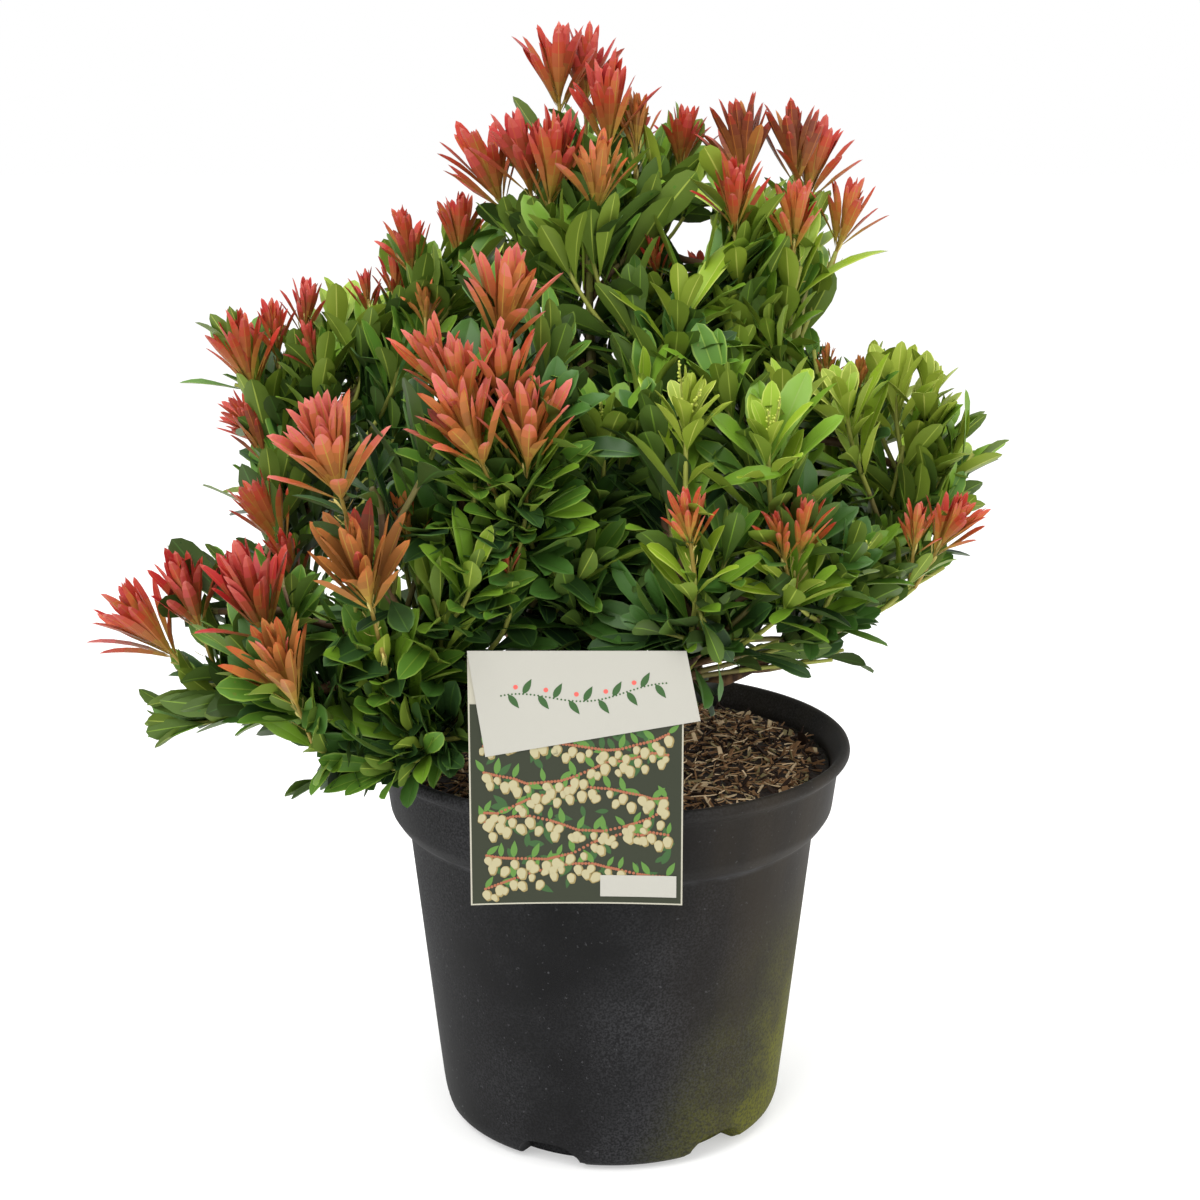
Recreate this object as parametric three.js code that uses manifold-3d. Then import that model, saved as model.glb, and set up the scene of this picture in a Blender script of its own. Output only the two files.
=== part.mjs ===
// A young pieris shrub in its nursery pot, flushing with new leaves.
// Millimetres, +Z up. The origin is the centre of the pot's flat underside.
import * as THREE from 'three';
import { mergeVertices } from 'three/addons/utils/BufferGeometryUtils.js';
import Module from 'manifold-3d';

const wasm = await Module();
wasm.setup();

// ---------------------------------------------------------------- driving dimensions

const GAP = 0.3;                        // what touching solids keep between them

const POT_HEIGHT = 212.5;
const RIM_RADIUS = 130;                 // outside of the rolled lip
const LIP = { height: 7, roll: 2, crown: 4 };
const BAND_RADIUS = 122;                // outside of the stiff band under the lip
const BAND_BOTTOM = 167;                // height where the band steps in to the body
const BAND_STEP = { inwards: 6, rise: 3 };
const BAND_SHOULDER = 10;               // height over which the band rounds out above its step
const BODY_TOP_RADIUS = 111;
const BODY_FOOT_RADIUS = 93;
const FOOT_ROUNDING = 8;
const WALL = 2.6;
const RIM_WALL = 4.5;
const FLOOR = 17;                       // the floor is thick enough to hold the drainage notches
const NOTCHES = 6;
const NOTCH_WIDTH = 30;
const NOTCH_HEIGHT = 14.5;
const NOTCH_DEPTH = 15;
const NOTCH_TURN = -52;                 // degrees from +X to the middle of the first notch
const POT_SEGMENTS = 36;

const SOIL_TOP = 203;
const SOIL_EDGE_DROP = 3;               // the compost has settled against the wall
const SOIL_FLAT_RADIUS = 92;

const CARD = { width: 103, height: 128, thickness: 0.7, bottom: 168.5, middle: -17, front: -132.6 };
const HOOK = { width: 14, thickness: 1.2, foot: 188.5, top: 216, inner: -113.5 };

const TRUNK_TOP = 246;
const TRUNK_LEAN = new THREE.Vector2(-6, -3);
const FLARE_RADIUS = 22;
const TRUNK_RADIUS = 13;
const FORK_RADIUS = 10.5;
const FLARE_REACH = 0.3;                // share of the trunk's length that its flare fades over
const TRUNK_ROOT = 10;                  // drawn this far into the compost, then cut off flat

const LIMB_BEND = { out: 0.55, up: 0.38 };  // a limb goes out sooner than it goes up

// Each bough leaves the trunk at a height and ends where it enters a mass of foliage.
const BOUGHS = [
  { name: 'bough_leader', leaves: 238, enters: 'heart', foot: 8, tip: 6.5 },
  { name: 'bough_left', leaves: 222, enters: 'flank_left', foot: 7, tip: 5 },
  { name: 'bough_front_left', leaves: 234, enters: 'front_left', foot: 6.5, tip: 5 },
  { name: 'bough_front_right', leaves: 230, enters: 'under_right', foot: 6.5, tip: 4.5 },
  { name: 'bough_right', leaves: 224, enters: 'right_under', foot: 7.5, tip: 5 },
  { name: 'bough_back_right', leaves: 232, enters: 'back_low_right', foot: 6.5, tip: 5 },
  { name: 'bough_back_left', leaves: 226, enters: 'back_low_left', foot: 6.5, tip: 5 },
];

// Bare stems stand between the dome of the shrub and the tufts that have outgrown it.
const STEMS = [
  { name: 'stem_crest', leaves: 'heart', enters: 'crest_front', foot: 4.5, tip: 3.5 },
  { name: 'stem_spire_left', leaves: 'right_high', enters: 'spire_left', foot: 3.8, tip: 3 },
  { name: 'stem_spire_right', leaves: 'right_high', enters: 'spire_right', foot: 3.8, tip: 3 },
];

// The crown, mass by mass: where its middle stands and half its width, depth and height.
const CROWN_FOOT = new THREE.Vector3(0, 0, 215);  // masses point away from here
const MASSES = {
  crest_tip: { at: [-15, 9, 546], half: [37, 42, 46] },
  crest_left: { at: [-50, -8, 504], half: [40, 44, 45] },
  crest_front: { at: [-12, -42, 483], half: [38, 38, 40] },
  crest_right: { at: [27, 15, 502], half: [36, 44, 47] },
  crest_back: { at: [-12, 70, 495], half: [46, 48, 50] },
  spire_left: { at: [62, -25, 490], half: [31, 44, 52] },
  spire_right: { at: [106, 5, 495], half: [33, 50, 54] },
  shoulder_left_high: { at: [-93, 5, 460], half: [38, 52, 47] },
  shoulder_left_mid: { at: [-137, 0, 420], half: [40, 50, 42] },
  shoulder_left_tip: { at: [-188, 0, 408], half: [33, 45, 40] },
  left_middle: { at: [-172, -12, 358], half: [40, 50, 42] },
  salmon_high: { at: [-52, -100, 443], half: [34, 42, 38] },
  salmon_left: { at: [-72, -136, 408], half: [31, 38, 34] },
  salmon_right: { at: [-32, -126, 396], half: [30, 38, 38] },
  spear_pink: { at: [-119, -146, 386], half: [34, 38, 36] },
  spear_bronze: { at: [-115, -140, 333], half: [35, 40, 38] },
  low_left_tip: { at: [-222, -70, 304], half: [34, 44, 33] },
  low_left_crimson: { at: [-175, -92, 312], half: [37, 46, 36] },
  low_left_front: { at: [-153, -112, 275], half: [37, 44, 34] },
  low_left_under: { at: [-195, -68, 262], half: [40, 46, 31] },
  rim_left: { at: [-122, -84, 238], half: [47, 44, 34] },
  flank_left: { at: [-104, -92, 288], half: [43, 46, 40] },
  front_left: { at: [-72, -104, 340], half: [43, 50, 42] },
  front_core: { at: [-18, -88, 348], half: [44, 52, 46] },
  front_low: { at: [-20, -72, 298], half: [46, 50, 30] },
  centre_high: { at: [28, -50, 416], half: [38, 50, 42] },
  centre_mid: { at: [25, -92, 388], half: [37, 48, 38] },
  centre_right: { at: [80, -84, 392], half: [37, 50, 36] },
  front_right: { at: [40, -122, 338], half: [33, 44, 40] },
  front_right_twin: { at: [87, -108, 336], half: [37, 46, 39] },
  under_right: { at: [45, -98, 287], half: [28, 36, 32] },
  right_high: { at: [88, -25, 403], half: [40, 50, 30] },
  right_shoulder: { at: [130, -30, 396], half: [38, 50, 36] },
  right_tip: { at: [169, -5, 376], half: [34, 50, 38] },
  right_tip_low: { at: [176, -25, 340], half: [35, 44, 26] },
  right_low: { at: [138, -40, 312], half: [44, 50, 32] },
  right_under: { at: [102, -52, 282], half: [40, 48, 27] },
  heart: { at: [-8, -5, 360], half: [92, 62, 62] },
  back_left_high: { at: [-78, 80, 426], half: [66, 60, 60] },
  back_right_high: { at: [62, 78, 422], half: [68, 60, 60] },
  back_left: { at: [-152, 62, 345], half: [64, 62, 62] },
  back_right: { at: [136, 62, 342], half: [68, 66, 62] },
  back_middle_left: { at: [-68, 128, 352], half: [62, 58, 60] },
  back_middle_right: { at: [60, 124, 348], half: [67, 60, 62] },
  back_low_left: { at: [-92, 105, 278], half: [62, 60, 42] },
  back_low_right: { at: [78, 102, 276], half: [62, 60, 42] },
};

const MASS_LOBES = 5;                   // shoots that show as bulges round one mass
const MASS_SEGMENTS = 2 * MASS_LOBES;
const MASS_RINGS = 6;
const MASS_FOOT_PINCH = 0.4;            // a mass is this much narrower where its bough comes in
const MASS_WIDEST = 0.4;                // and widest this share of the way to its top
const LOBE_DEPTH = 0.12;
const UNEVENNESS = 0.07;

// ---------------------------------------------------------------- finishes

const finish = (color, roughness) => new THREE.MeshStandardMaterial({ color, roughness, metalness: 0 });
const potPlastic = () => finish(0x2b2b2d, 0.6);
const compost = () => finish(0x2d2018, 0.95);
const printedCard = () => finish(0xd8d2bd, 0.45);
const bark = () => finish(0x7d5f3a, 0.85);
const greenFoliage = () => finish(0x4f7a2c, 0.55);
const flushFoliage = () => finish(0xc24a33, 0.55);

// ---------------------------------------------------------------- solids and meshes

/** A three.js geometry as a manifold solid: only its positions, with shared corners merged. */
function solidOf(geometry) {
  const bare = geometry.clone();
  bare.deleteAttribute('normal');
  bare.deleteAttribute('uv');
  const merged = mergeVertices(bare, 1e-4);
  return new wasm.Manifold(new wasm.Mesh({
    numProp: 3,
    vertProperties: new Float32Array(merged.attributes.position.array),
    triVerts: new Uint32Array(merged.index.array),
  }));
}

/** A manifold solid as a three.js geometry. */
function geometryOf(solid) {
  const mesh = solid.getMesh();
  const geometry = new THREE.BufferGeometry();
  geometry.setAttribute('position', new THREE.BufferAttribute(new Float32Array(mesh.vertProperties), 3));
  geometry.setIndex(new THREE.BufferAttribute(new Uint32Array(mesh.triVerts), 1));
  geometry.computeVertexNormals();
  return geometry;
}

/** The largest connected piece of a solid, so that a cut leaves no crumbs. */
function largestPiece(solid) {
  return solid.decompose().reduce((best, piece) => (piece.volume() > best.volume() ? piece : best));
}

/** A named mesh of a solid. */
function namedMesh(name, solid, material) {
  const mesh = new THREE.Mesh(geometryOf(solid), material);
  mesh.name = name;
  return mesh;
}

/** A block from its lowest to its highest corner. */
function block(low, high) {
  const size = high.map((value, axis) => value - low[axis]);
  const middle = high.map((value, axis) => (value + low[axis]) / 2);
  return solidOf(new THREE.BoxGeometry(...size).translate(...middle));
}

/** A profile of [radius, height] pairs, turned about the Z axis. */
function turned(profile) {
  const points = profile.map(([radius, height]) => new THREE.Vector2(radius, height));
  return solidOf(new THREE.LatheGeometry(points, POT_SEGMENTS).rotateX(Math.PI / 2));
}

/** Repeatable numbers from 0 to 1. */
function dice(seed) {
  let state = seed >>> 0;
  return () => {
    state = (state * 1664525 + 1013904223) >>> 0;
    return state / 2 ** 32;
  };
}

// ---------------------------------------------------------------- pot and compost

/** Outside radius of the pot's body at a height below the band. */
function bodyRadius(height) {
  return BODY_FOOT_RADIUS + (BODY_TOP_RADIUS - BODY_FOOT_RADIUS) * height / BAND_BOTTOM;
}

/** The pot's outside from the foot to the lip. Grown moves it outwards. */
function potOutside(grown = 0) {
  const corner = [30, 60].map((degrees) => {
    const turn = THREE.MathUtils.degToRad(degrees);
    return [BODY_FOOT_RADIUS - FOOT_ROUNDING * (1 - Math.sin(turn)), FOOT_ROUNDING * (1 - Math.cos(turn))];
  });
  const points = [
    [BODY_FOOT_RADIUS - FOOT_ROUNDING, 0],
    ...corner,
    [bodyRadius(FOOT_ROUNDING), FOOT_ROUNDING],
    [BODY_TOP_RADIUS, BAND_BOTTOM],
    [BAND_RADIUS - BAND_STEP.inwards, BAND_BOTTOM + BAND_STEP.rise],
    [BAND_RADIUS - 1, BAND_BOTTOM + BAND_SHOULDER],
    [BAND_RADIUS + LIP.roll, POT_HEIGHT - LIP.height - LIP.roll],
    [RIM_RADIUS - LIP.roll, POT_HEIGHT - LIP.height],
    [RIM_RADIUS, POT_HEIGHT - LIP.crown],
    [RIM_RADIUS - LIP.roll / 2, POT_HEIGHT],
  ];
  return points.map(([radius, height]) => [radius + grown, height]);
}

/** The pot's inside from the top of the wall down to the floor. Shrunk moves it inwards. */
function potInside(shrunk = 0) {
  const points = [
    [RIM_RADIUS - RIM_WALL, POT_HEIGHT],
    [BAND_RADIUS - WALL, POT_HEIGHT - LIP.height - BAND_STEP.rise],
    [BAND_RADIUS - WALL - BAND_STEP.rise, BAND_BOTTOM + BAND_SHOULDER],
    [BODY_TOP_RADIUS - WALL, BAND_BOTTOM - BAND_STEP.rise],
    [bodyRadius(FLOOR) - WALL, FLOOR],
  ];
  return points.map(([radius, height]) => [radius - shrunk, height]);
}

/** The round pot with its lip, band, thick floor and the notches that let water out under it. */
function pot() {
  let solid = turned([[0, 0], ...potOutside(), ...potInside(), [0, FLOOR]]);
  for (let index = 0; index < NOTCHES; index += 1) {
    const geometry = new THREE.BoxGeometry(2 * NOTCH_DEPTH, NOTCH_WIDTH, 2 * NOTCH_HEIGHT);
    geometry.translate(BODY_FOOT_RADIUS, 0, 0);
    geometry.rotateZ(THREE.MathUtils.degToRad(NOTCH_TURN + index * 360 / NOTCHES));
    solid = solid.subtract(solidOf(geometry));
  }
  return solid;
}

/** Compost and root ball: they fill the pot up to a flat top that sinks a little at the wall. */
function soil() {
  const wall = potInside(GAP).slice(2).reverse();
  const lowest = [wall[0][0], FLOOR + GAP];
  const [upper, lower] = potInside(GAP).slice(1, 3);
  const edgeHeight = SOIL_TOP - SOIL_EDGE_DROP;
  const edge = [
    THREE.MathUtils.mapLinear(edgeHeight, lower[1], upper[1], lower[0], upper[0]),
    edgeHeight,
  ];
  return turned([[0, FLOOR + GAP], lowest, ...wall.slice(1), edge, [SOIL_FLAT_RADIUS, SOIL_TOP], [0, SOIL_TOP]]);
}

// ---------------------------------------------------------------- hanging label

/** A printed card in front of the rim, on a strip that hooks over the lip and stands in the pot. */
function label(grown = 0) {
  const back = CARD.front + CARD.thickness;
  const inside = [HOOK.inner - HOOK.thickness, HOOK.inner];
  const part = (width, depth, height) => block(
    [CARD.middle - width / 2 - grown, depth[0] - grown, height[0] - grown],
    [CARD.middle + width / 2 + grown, depth[1] + grown, height[1] + grown],
  );
  const face = part(CARD.width, [CARD.front, back], [CARD.bottom, CARD.bottom + CARD.height]);
  const outer = part(HOOK.width, [CARD.front, back + HOOK.thickness], [HOOK.foot, HOOK.top]);
  const bridge = part(HOOK.width, [CARD.front, HOOK.inner], [HOOK.top - HOOK.thickness, HOOK.top]);
  const leg = part(HOOK.width, inside, [SOIL_TOP + GAP, HOOK.top]);
  return face.add(outer).add(bridge).add(leg);
}

// ---------------------------------------------------------------- trunk and boughs

/** A closed limb: round rings along a smooth path, with a radius for each ring. */
function limb(path, radiusAt, sides, steps) {
  const frames = path.computeFrenetFrames(steps, false);
  const positions = [];
  for (let step = 0; step <= steps; step += 1) {
    const along = step / steps;
    const middle = path.getPointAt(along);
    const radius = radiusAt(along);
    for (let side = 0; side < sides; side += 1) {
      const turn = 2 * Math.PI * side / sides;
      const point = middle.clone();
      point.addScaledVector(frames.normals[step], radius * Math.cos(turn));
      point.addScaledVector(frames.binormals[step], radius * Math.sin(turn));
      positions.push(point.x, point.y, point.z);
    }
  }
  const foot = (steps + 1) * sides;
  positions.push(...path.getPointAt(0).toArray(), ...path.getPointAt(1).toArray());
  const faces = [];
  for (let side = 0; side < sides; side += 1) {
    const next = (side + 1) % sides;
    for (let step = 0; step < steps; step += 1) {
      const row = step * sides;
      faces.push(row + side, row + next, row + sides + next);
      faces.push(row + side, row + sides + next, row + sides + side);
    }
    faces.push(foot, next, side);
    faces.push(foot + 1, steps * sides + side, steps * sides + next);
  }
  return new wasm.Manifold(new wasm.Mesh({
    numProp: 3,
    vertProperties: new Float32Array(positions),
    triVerts: new Uint32Array(faces),
  }));
}

/** Middle of the trunk at a height. It leans evenly from the compost to its fork. */
function trunkMiddle(height) {
  const share = (height - SOIL_TOP) / (TRUNK_TOP - SOIL_TOP);
  return new THREE.Vector3(TRUNK_LEAN.x * share, TRUNK_LEAN.y * share, height);
}

/** The short main stem: a flat cut on the compost, a flare at its foot and a true taper above. */
function trunk(grown = 0) {
  const path = new THREE.LineCurve3(trunkMiddle(SOIL_TOP - TRUNK_ROOT), trunkMiddle(TRUNK_TOP));
  const radiusAt = (along) => {
    const flare = (FLARE_RADIUS - TRUNK_RADIUS) * Math.exp(-((along / FLARE_REACH) ** 2));
    return grown + flare + THREE.MathUtils.lerp(TRUNK_RADIUS, FORK_RADIUS, along);
  };
  const clear = 3 * FLARE_RADIUS;
  const ground = block([-clear, -clear, SOIL_TOP - clear], [clear, clear, SOIL_TOP + GAP]);
  return limb(path, radiusAt, 12, 8).subtract(ground);
}

/** The path of a limb that sets out level and then turns up to where it ends. */
function risingPath(from, to) {
  const bend = new THREE.Vector3(
    THREE.MathUtils.lerp(from.x, to.x, LIMB_BEND.out),
    THREE.MathUtils.lerp(from.y, to.y, LIMB_BEND.out),
    THREE.MathUtils.lerp(from.z, to.z, LIMB_BEND.up),
  );
  return new THREE.QuadraticBezierCurve3(from, bend, to);
}

/** One tapering limb between two points. */
function taperingLimb(from, to, foot, tip, grown) {
  const radiusAt = (along) => grown + THREE.MathUtils.lerp(foot, tip, along);
  return limb(risingPath(from, to), radiusAt, 7, 6);
}

// ---------------------------------------------------------------- masses of foliage

/** Middle of a mass. */
const middleOf = (name) => new THREE.Vector3(...MASSES[name].at);

/**
 * One mass: a ball drawn out to its half sizes, with its poles along the way it grows,
 * pinched where its bough comes in, lobed round its open end, and unevenly swollen.
 */
function mass(name, grown = 0) {
  const { at, half } = MASSES[name];
  const random = dice(Object.keys(MASSES).indexOf(name) + 1);
  const growth = middleOf(name).sub(CROWN_FOOT).normalize();
  const turn = new THREE.Quaternion().setFromUnitVectors(new THREE.Vector3(0, 1, 0), growth);
  const ball = new THREE.SphereGeometry(1, MASS_SEGMENTS, MASS_RINGS);
  ball.deleteAttribute('normal');
  ball.deleteAttribute('uv');
  const merged = mergeVertices(ball, 1e-4);
  const corners = merged.attributes.position;
  const point = new THREE.Vector3();
  for (let index = 0; index < corners.count; index += 1) {
    point.fromBufferAttribute(corners, index);
    const around = Math.atan2(point.z, point.x);
    const along = point.y;
    const open = THREE.MathUtils.smoothstep(along, -1, MASS_WIDEST);
    const pinch = 1 - MASS_FOOT_PINCH * (1 - open);
    const lobe = 1 + LOBE_DEPTH * open * Math.cos(MASS_LOBES * around) * (1 - along * along);
    const swell = 1 + UNEVENNESS * (2 * random() - 1);
    point.applyQuaternion(turn);
    const reach = pinch * lobe * swell;
    corners.setXYZ(
      index,
      at[0] + point.x * (half[0] * reach + grown),
      at[1] + point.y * (half[1] * reach + grown),
      at[2] + point.z * (half[2] * reach + grown),
    );
  }
  return solidOf(merged);
}

/** How far a mass reaches from its middle towards a direction. */
function reachTowards(name, direction) {
  const [width, depth, height] = MASSES[name].half;
  return 1 / Math.hypot(direction.x / width, direction.y / depth, direction.z / height);
}

/** For each mass, the planes that part it from the masses it would overlap, facing outwards. */
function partings() {
  const names = Object.keys(MASSES);
  const balls = names.map((name) => mass(name));
  const planes = Object.fromEntries(names.map((name) => [name, []]));
  names.forEach((one, first) => names.slice(first + 1).forEach((other, later) => {
    if (balls[first].intersect(balls[first + 1 + later]).volume() <= 0) return;
    const normal = middleOf(other).sub(middleOf(one));
    const apart = normal.length();
    normal.normalize();
    const spare = reachTowards(one, normal) ** 2 - reachTowards(other, normal) ** 2;
    const offset = normal.dot(middleOf(one)) + (apart + spare / apart) / 2;
    planes[one].push({ normal, offset });
    planes[other].push({ normal: normal.clone().negate(), offset: -offset });
  }));
  return planes;
}

/** A mass cut back to its own side of each parting plane. Neighbours meet face to face. */
function partedMass(name, planes, grown = 0) {
  const share = (solid, { normal, offset }) => solid.trimByPlane(
    normal.clone().negate().toArray(),
    GAP / 2 - offset - grown,
  );
  return planes[name].reduce(share, mass(name, grown));
}

/** Every mass of the crown, kept out of the given solids. */
function crown(planes, keepOut) {
  return Object.fromEntries(Object.keys(MASSES).map((name) => {
    const whole = partedMass(name, planes);
    return [name, largestPiece(keepOut.reduce((solid, other) => solid.subtract(other), whole))];
  }));
}

/** The boughs from the trunk and the bare stems, cut clear of the masses and of each other. */
function limbs(planes) {
  const laid = {};
  const grownBefore = [trunk(GAP), ...Object.keys(MASSES).map((name) => partedMass(name, planes, GAP))];
  const lay = (name, from, to, foot, tip) => {
    const whole = taperingLimb(from, to, foot, tip, 0);
    laid[name] = largestPiece(grownBefore.reduce((solid, other) => solid.subtract(other), whole));
    grownBefore.push(taperingLimb(from, to, foot, tip, GAP));
  };
  BOUGHS.forEach(({ name, leaves, enters, foot, tip }) => {
    lay(name, trunkMiddle(leaves), middleOf(enters), foot, tip);
  });
  STEMS.forEach(({ name, leaves, enters, foot, tip }) => {
    lay(name, middleOf(leaves), middleOf(enters), foot, tip);
  });
  return laid;
}

// ---------------------------------------------------------------- assembly

const FLUSHING = ['crest_tip', 'crest_left', 'salmon', 'spear', 'low_left_tip', 'low_left_crimson'];
const isFlushing = (name) => FLUSHING.some((start) => name.startsWith(start));

const shrub = new THREE.Group();
shrub.name = 'pieris_in_pot';
const potBody = turned([[0, 0], ...potOutside(GAP), [0, POT_HEIGHT]]);
const planes = partings();

shrub.add(namedMesh('pot', pot(), potPlastic()));
shrub.add(namedMesh('soil', soil(), compost()));
shrub.add(namedMesh('label', label(), printedCard()));
shrub.add(namedMesh('trunk', trunk(), bark()));
Object.entries(limbs(planes)).forEach(([name, solid]) => shrub.add(namedMesh(name, solid, bark())));
Object.entries(crown(planes, [potBody, label(GAP)])).forEach(([name, solid]) => {
  shrub.add(namedMesh(name, solid, isFlushing(name) ? flushFoliage() : greenFoliage()));
});

export default shrub;
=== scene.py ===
"""A young pieris shrub in its nursery pot: pot, compost, label, bark, twigs, leaves and new growth.

Metres in Blender, +Z up. Sizes that are easier to read in millimetres are written as such and
multiplied by MM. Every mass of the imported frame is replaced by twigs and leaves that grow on
from the boughs by one seeded rule.
"""
import math

import bpy
import numpy as np
from mathutils import Matrix, Vector


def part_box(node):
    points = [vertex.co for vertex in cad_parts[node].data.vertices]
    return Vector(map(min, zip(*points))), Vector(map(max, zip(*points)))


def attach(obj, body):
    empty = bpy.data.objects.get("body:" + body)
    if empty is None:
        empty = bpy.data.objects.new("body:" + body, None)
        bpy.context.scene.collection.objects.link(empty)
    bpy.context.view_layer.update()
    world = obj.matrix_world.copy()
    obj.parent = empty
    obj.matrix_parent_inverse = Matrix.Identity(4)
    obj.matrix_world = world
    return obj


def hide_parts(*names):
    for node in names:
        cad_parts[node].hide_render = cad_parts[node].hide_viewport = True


bl_info = {
    "name": "Potted Pieris",
    "version": (1, 0, 0),
    "blender": (4, 5, 0),
    "location": "View3D > Sidebar > Pieris",
    "description": "Grows a pieris shrub in a nursery pot round a packed frame",
    "category": "Add Mesh",
}

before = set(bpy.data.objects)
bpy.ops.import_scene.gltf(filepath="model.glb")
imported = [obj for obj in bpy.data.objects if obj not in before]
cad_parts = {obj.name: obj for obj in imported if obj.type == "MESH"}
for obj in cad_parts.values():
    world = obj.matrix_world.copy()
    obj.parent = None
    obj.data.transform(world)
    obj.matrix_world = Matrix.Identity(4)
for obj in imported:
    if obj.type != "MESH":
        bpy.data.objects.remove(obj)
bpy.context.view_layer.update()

MM = 0.001
UP = np.array((0.0, 0.0, 1.0))
BODY = "root"

RIM_RADIUS, _, RIM_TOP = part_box("pot")[1]
SOIL_RADIUS, _, SOIL_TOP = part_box("soil")[1]
CARD_LOW, CARD_HIGH = (np.array(corner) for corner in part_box("label"))
CROWN_FOOT = np.array((0.0, 0.0, SOIL_TOP + 12 * MM))

NOT_FOLIAGE = ("pot", "soil", "label", "trunk", "bough_", "stem_")
MASSES = sorted(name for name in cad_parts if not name.startswith(NOT_FOLIAGE))
MASS_BOX = np.array([[tuple(corner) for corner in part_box(name)] for name in MASSES])
MASS_MIDDLE = MASS_BOX.mean(1)
MASS_HALF = (MASS_BOX[:, 1] - MASS_BOX[:, 0]) / 2

# Regions of the crown. Each has its own piece of green leaves.
REGIONS = {
    "crest": ("crest_", "spire_"),
    "left": ("shoulder_left", "left_middle", "low_left", "rim_left", "flank_left"),
    "front": ("salmon_", "spear_", "front_left", "front_core", "front_low", "centre_"),
    "right": ("right_", "front_right", "under_right"),
    "back_left": ("back_left", "back_middle_left", "back_low_left"),
    "back_right": ("back_right", "back_middle_right", "back_low_right"),
    "heart": ("heart",),
}

# ---- where the shrub grows

# The trunk leans evenly from the compost to its fork, in millimetres.
TRUNK = {"foot": (0, 0, 203), "fork": (-6, -3, 246), "sunk": 5}
TRUNK_RADII = {"flare": 22, "stem": 13, "fork": 10.5, "flare_reach": 0.3}

# Each bough leaves the trunk at a height and runs to the middle of a mass, in millimetres.
BOUGHS = {
    "bough_leader": {"leaves": 238, "to": (-8, -5, 360), "foot": 8, "tip": 6.5},
    "bough_left": {"leaves": 222, "to": (-104, -92, 288), "foot": 7, "tip": 5},
    "bough_front_left": {"leaves": 234, "to": (-72, -104, 340), "foot": 6.5, "tip": 5},
    "bough_front_right": {"leaves": 230, "to": (45, -98, 287), "foot": 6.5, "tip": 4.5},
    "bough_right": {"leaves": 224, "to": (102, -52, 282), "foot": 7.5, "tip": 5},
    "bough_back_right": {"leaves": 232, "to": (78, 102, 276), "foot": 6.5, "tip": 5},
    "bough_back_left": {"leaves": 226, "to": (-92, 105, 278), "foot": 6.5, "tip": 5},
}
# Bare stems run between masses.
STEMS = {
    "stem_crest": {"from": (-8, -5, 360), "to": (-12, -42, 483), "foot": 4.5, "tip": 3.5},
    "stem_spire_left": {"from": (88, -25, 403), "to": (62, -25, 490), "foot": 3.8, "tip": 3},
    "stem_spire_right": {"from": (88, -25, 403), "to": (106, 5, 495), "foot": 3.8, "tip": 3},
}
LIMB_BEND = (0.55, 0.55, 0.38)  # a limb goes out sooner than it goes up

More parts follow.
